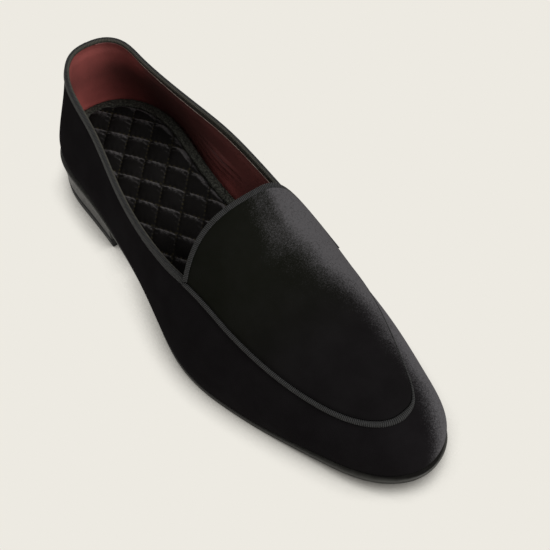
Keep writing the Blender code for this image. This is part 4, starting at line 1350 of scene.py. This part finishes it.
def floor_look():
    """Pale paper that glows evenly, with painted shade close to what stands on it, where ambient occlusion
    finds less open sky.
    """
    made, tree, shader = new_look("pale floor")
    # Painted shade of the floor, from ambient occlusion
    shade = add_node(tree, "ShaderNodeAmbientOcclusion", {"Distance": SHADE_REACH}, samples=8).outputs["AO"]
    lit = maths(tree, "POWER", ranged(tree, shade, 0.0, SHADE_LIMIT, 0.0, 1.0), SHADE_DEPTH)
    tooth = noise(tree, object_place(tree), 700, 3)
    feed(tree, shader, {"Emission Color": mixed(tree, lit, *FLOOR_SHADE_AND_PAPER), "Emission Strength": 1.0,
                        "Base Color": (0, 0, 0), "Roughness": ranged(tree, tooth, 0.3, 0.7, 0.90, 0.95),
                        "Specular IOR Level": 0.0})
    return made


def add_floor():
    """Large flat floor under the shoe."""
    mesh = bpy.data.meshes.new("floor")
    corners = [(-FLOOR_HALF, -FLOOR_HALF, 0), (FLOOR_HALF, -FLOOR_HALF, 0), (FLOOR_HALF, FLOOR_HALF, 0),
               (-FLOOR_HALF, FLOOR_HALF, 0)]
    mesh.from_pydata(corners, [], [(0, 1, 2, 3)])
    mesh.materials.append(floor_look())
    floor = bpy.data.objects.new("floor", mesh)
    bpy.context.scene.collection.objects.link(floor)


def camera_axes():
    """The camera's right, down and forward directions."""
    heading, elevation, roll = np.radians([HEADING, ELEVATION, ROLL])
    right = np.array([np.cos(heading), np.sin(heading), 0])
    ahead = np.array([-np.sin(heading), np.cos(heading), 0])
    forward = np.cos(elevation) * ahead - np.sin(elevation) * np.array([0, 0, 1])
    down = np.cross(forward, right)
    return np.cos(roll) * right + np.sin(roll) * down, np.cos(roll) * down - np.sin(roll) * right, forward


def add_camera():
    """Camera at the photograph's angle to the shoe."""
    right, down, forward = camera_axes()
    place = np.array(TARGET) + PLACE - DISTANCE * forward - SIDE_SHIFT * right - RISE_SHIFT * down
    data = bpy.data.cameras.new("camera")
    data.lens = LENS
    data.sensor_width = SENSOR
    camera = bpy.data.objects.new("camera", data)
    rows = [[right[k], -down[k], -forward[k], place[k]] for k in range(3)]
    camera.matrix_world = Matrix(rows + [[0, 0, 0, 1]])
    bpy.context.scene.collection.objects.link(camera)
    bpy.context.scene.camera = camera


def add_light():
    """Even pale surroundings and one soft distant light from before the inner side of the toe."""
    world = bpy.data.worlds.new("studio")
    bpy.context.scene.world = world
    world.use_nodes = True
    back = world.node_tree.nodes["Background"]
    back.inputs["Color"].default_value = (1.0, 0.99, 0.975, 1)
    back.inputs["Strength"].default_value = SURROUND
    data = bpy.data.lights.new("key", "SUN")
    data.angle = np.radians(KEY_SOFTNESS)
    data.energy = KEY_POWER
    lamp = bpy.data.objects.new("key", data)
    heading, height = np.radians([KEY_HEADING, KEY_HEIGHT])
    toward = Vector((np.cos(height) * np.cos(heading), np.cos(height) * np.sin(heading), np.sin(height)))
    lamp.rotation_euler = (-toward).to_track_quat("-Z", "Y").to_euler()
    bpy.context.scene.collection.objects.link(lamp)
    bpy.context.scene.view_settings.view_transform = "Standard"


def main():
    """Build the shoe, the floor, the lights and the camera."""
    pile = pile_group()
    velvet = velvet_look("black velvet", pile, VELVET_AND_SHEEN)
    plug_velvet = velvet_look("velvet of the plug", pile, PLUG_VELVET_AND_SHEEN)
    quilt, ribbon, border = quilt_look(pile), ribbon_look(), border_look()
    make_sole(edge_look())
    make_heel(plain_black_look("heel dressing", HEEL_BLACK, 0.42, 240),
              plain_black_look("black rubber", RUBBER_BLACK, 0.6, 500))
    grid, normal, loop, throat = upper_form()
    make_shell(grid, normal, loop, throat, [velvet, lining_look()])
    make_plug(loop, plug_velvet)
    make_piping(grid, normal, ribbon)
    make_collar_ribbon(grid, normal, ribbon, cut_edge_look())
    make_throat_ribbon(loop, throat, ribbon)
    make_insole(quilt)
    make_insole_ribbon(border)
    add_floor()
    add_light()
    add_camera()


main()
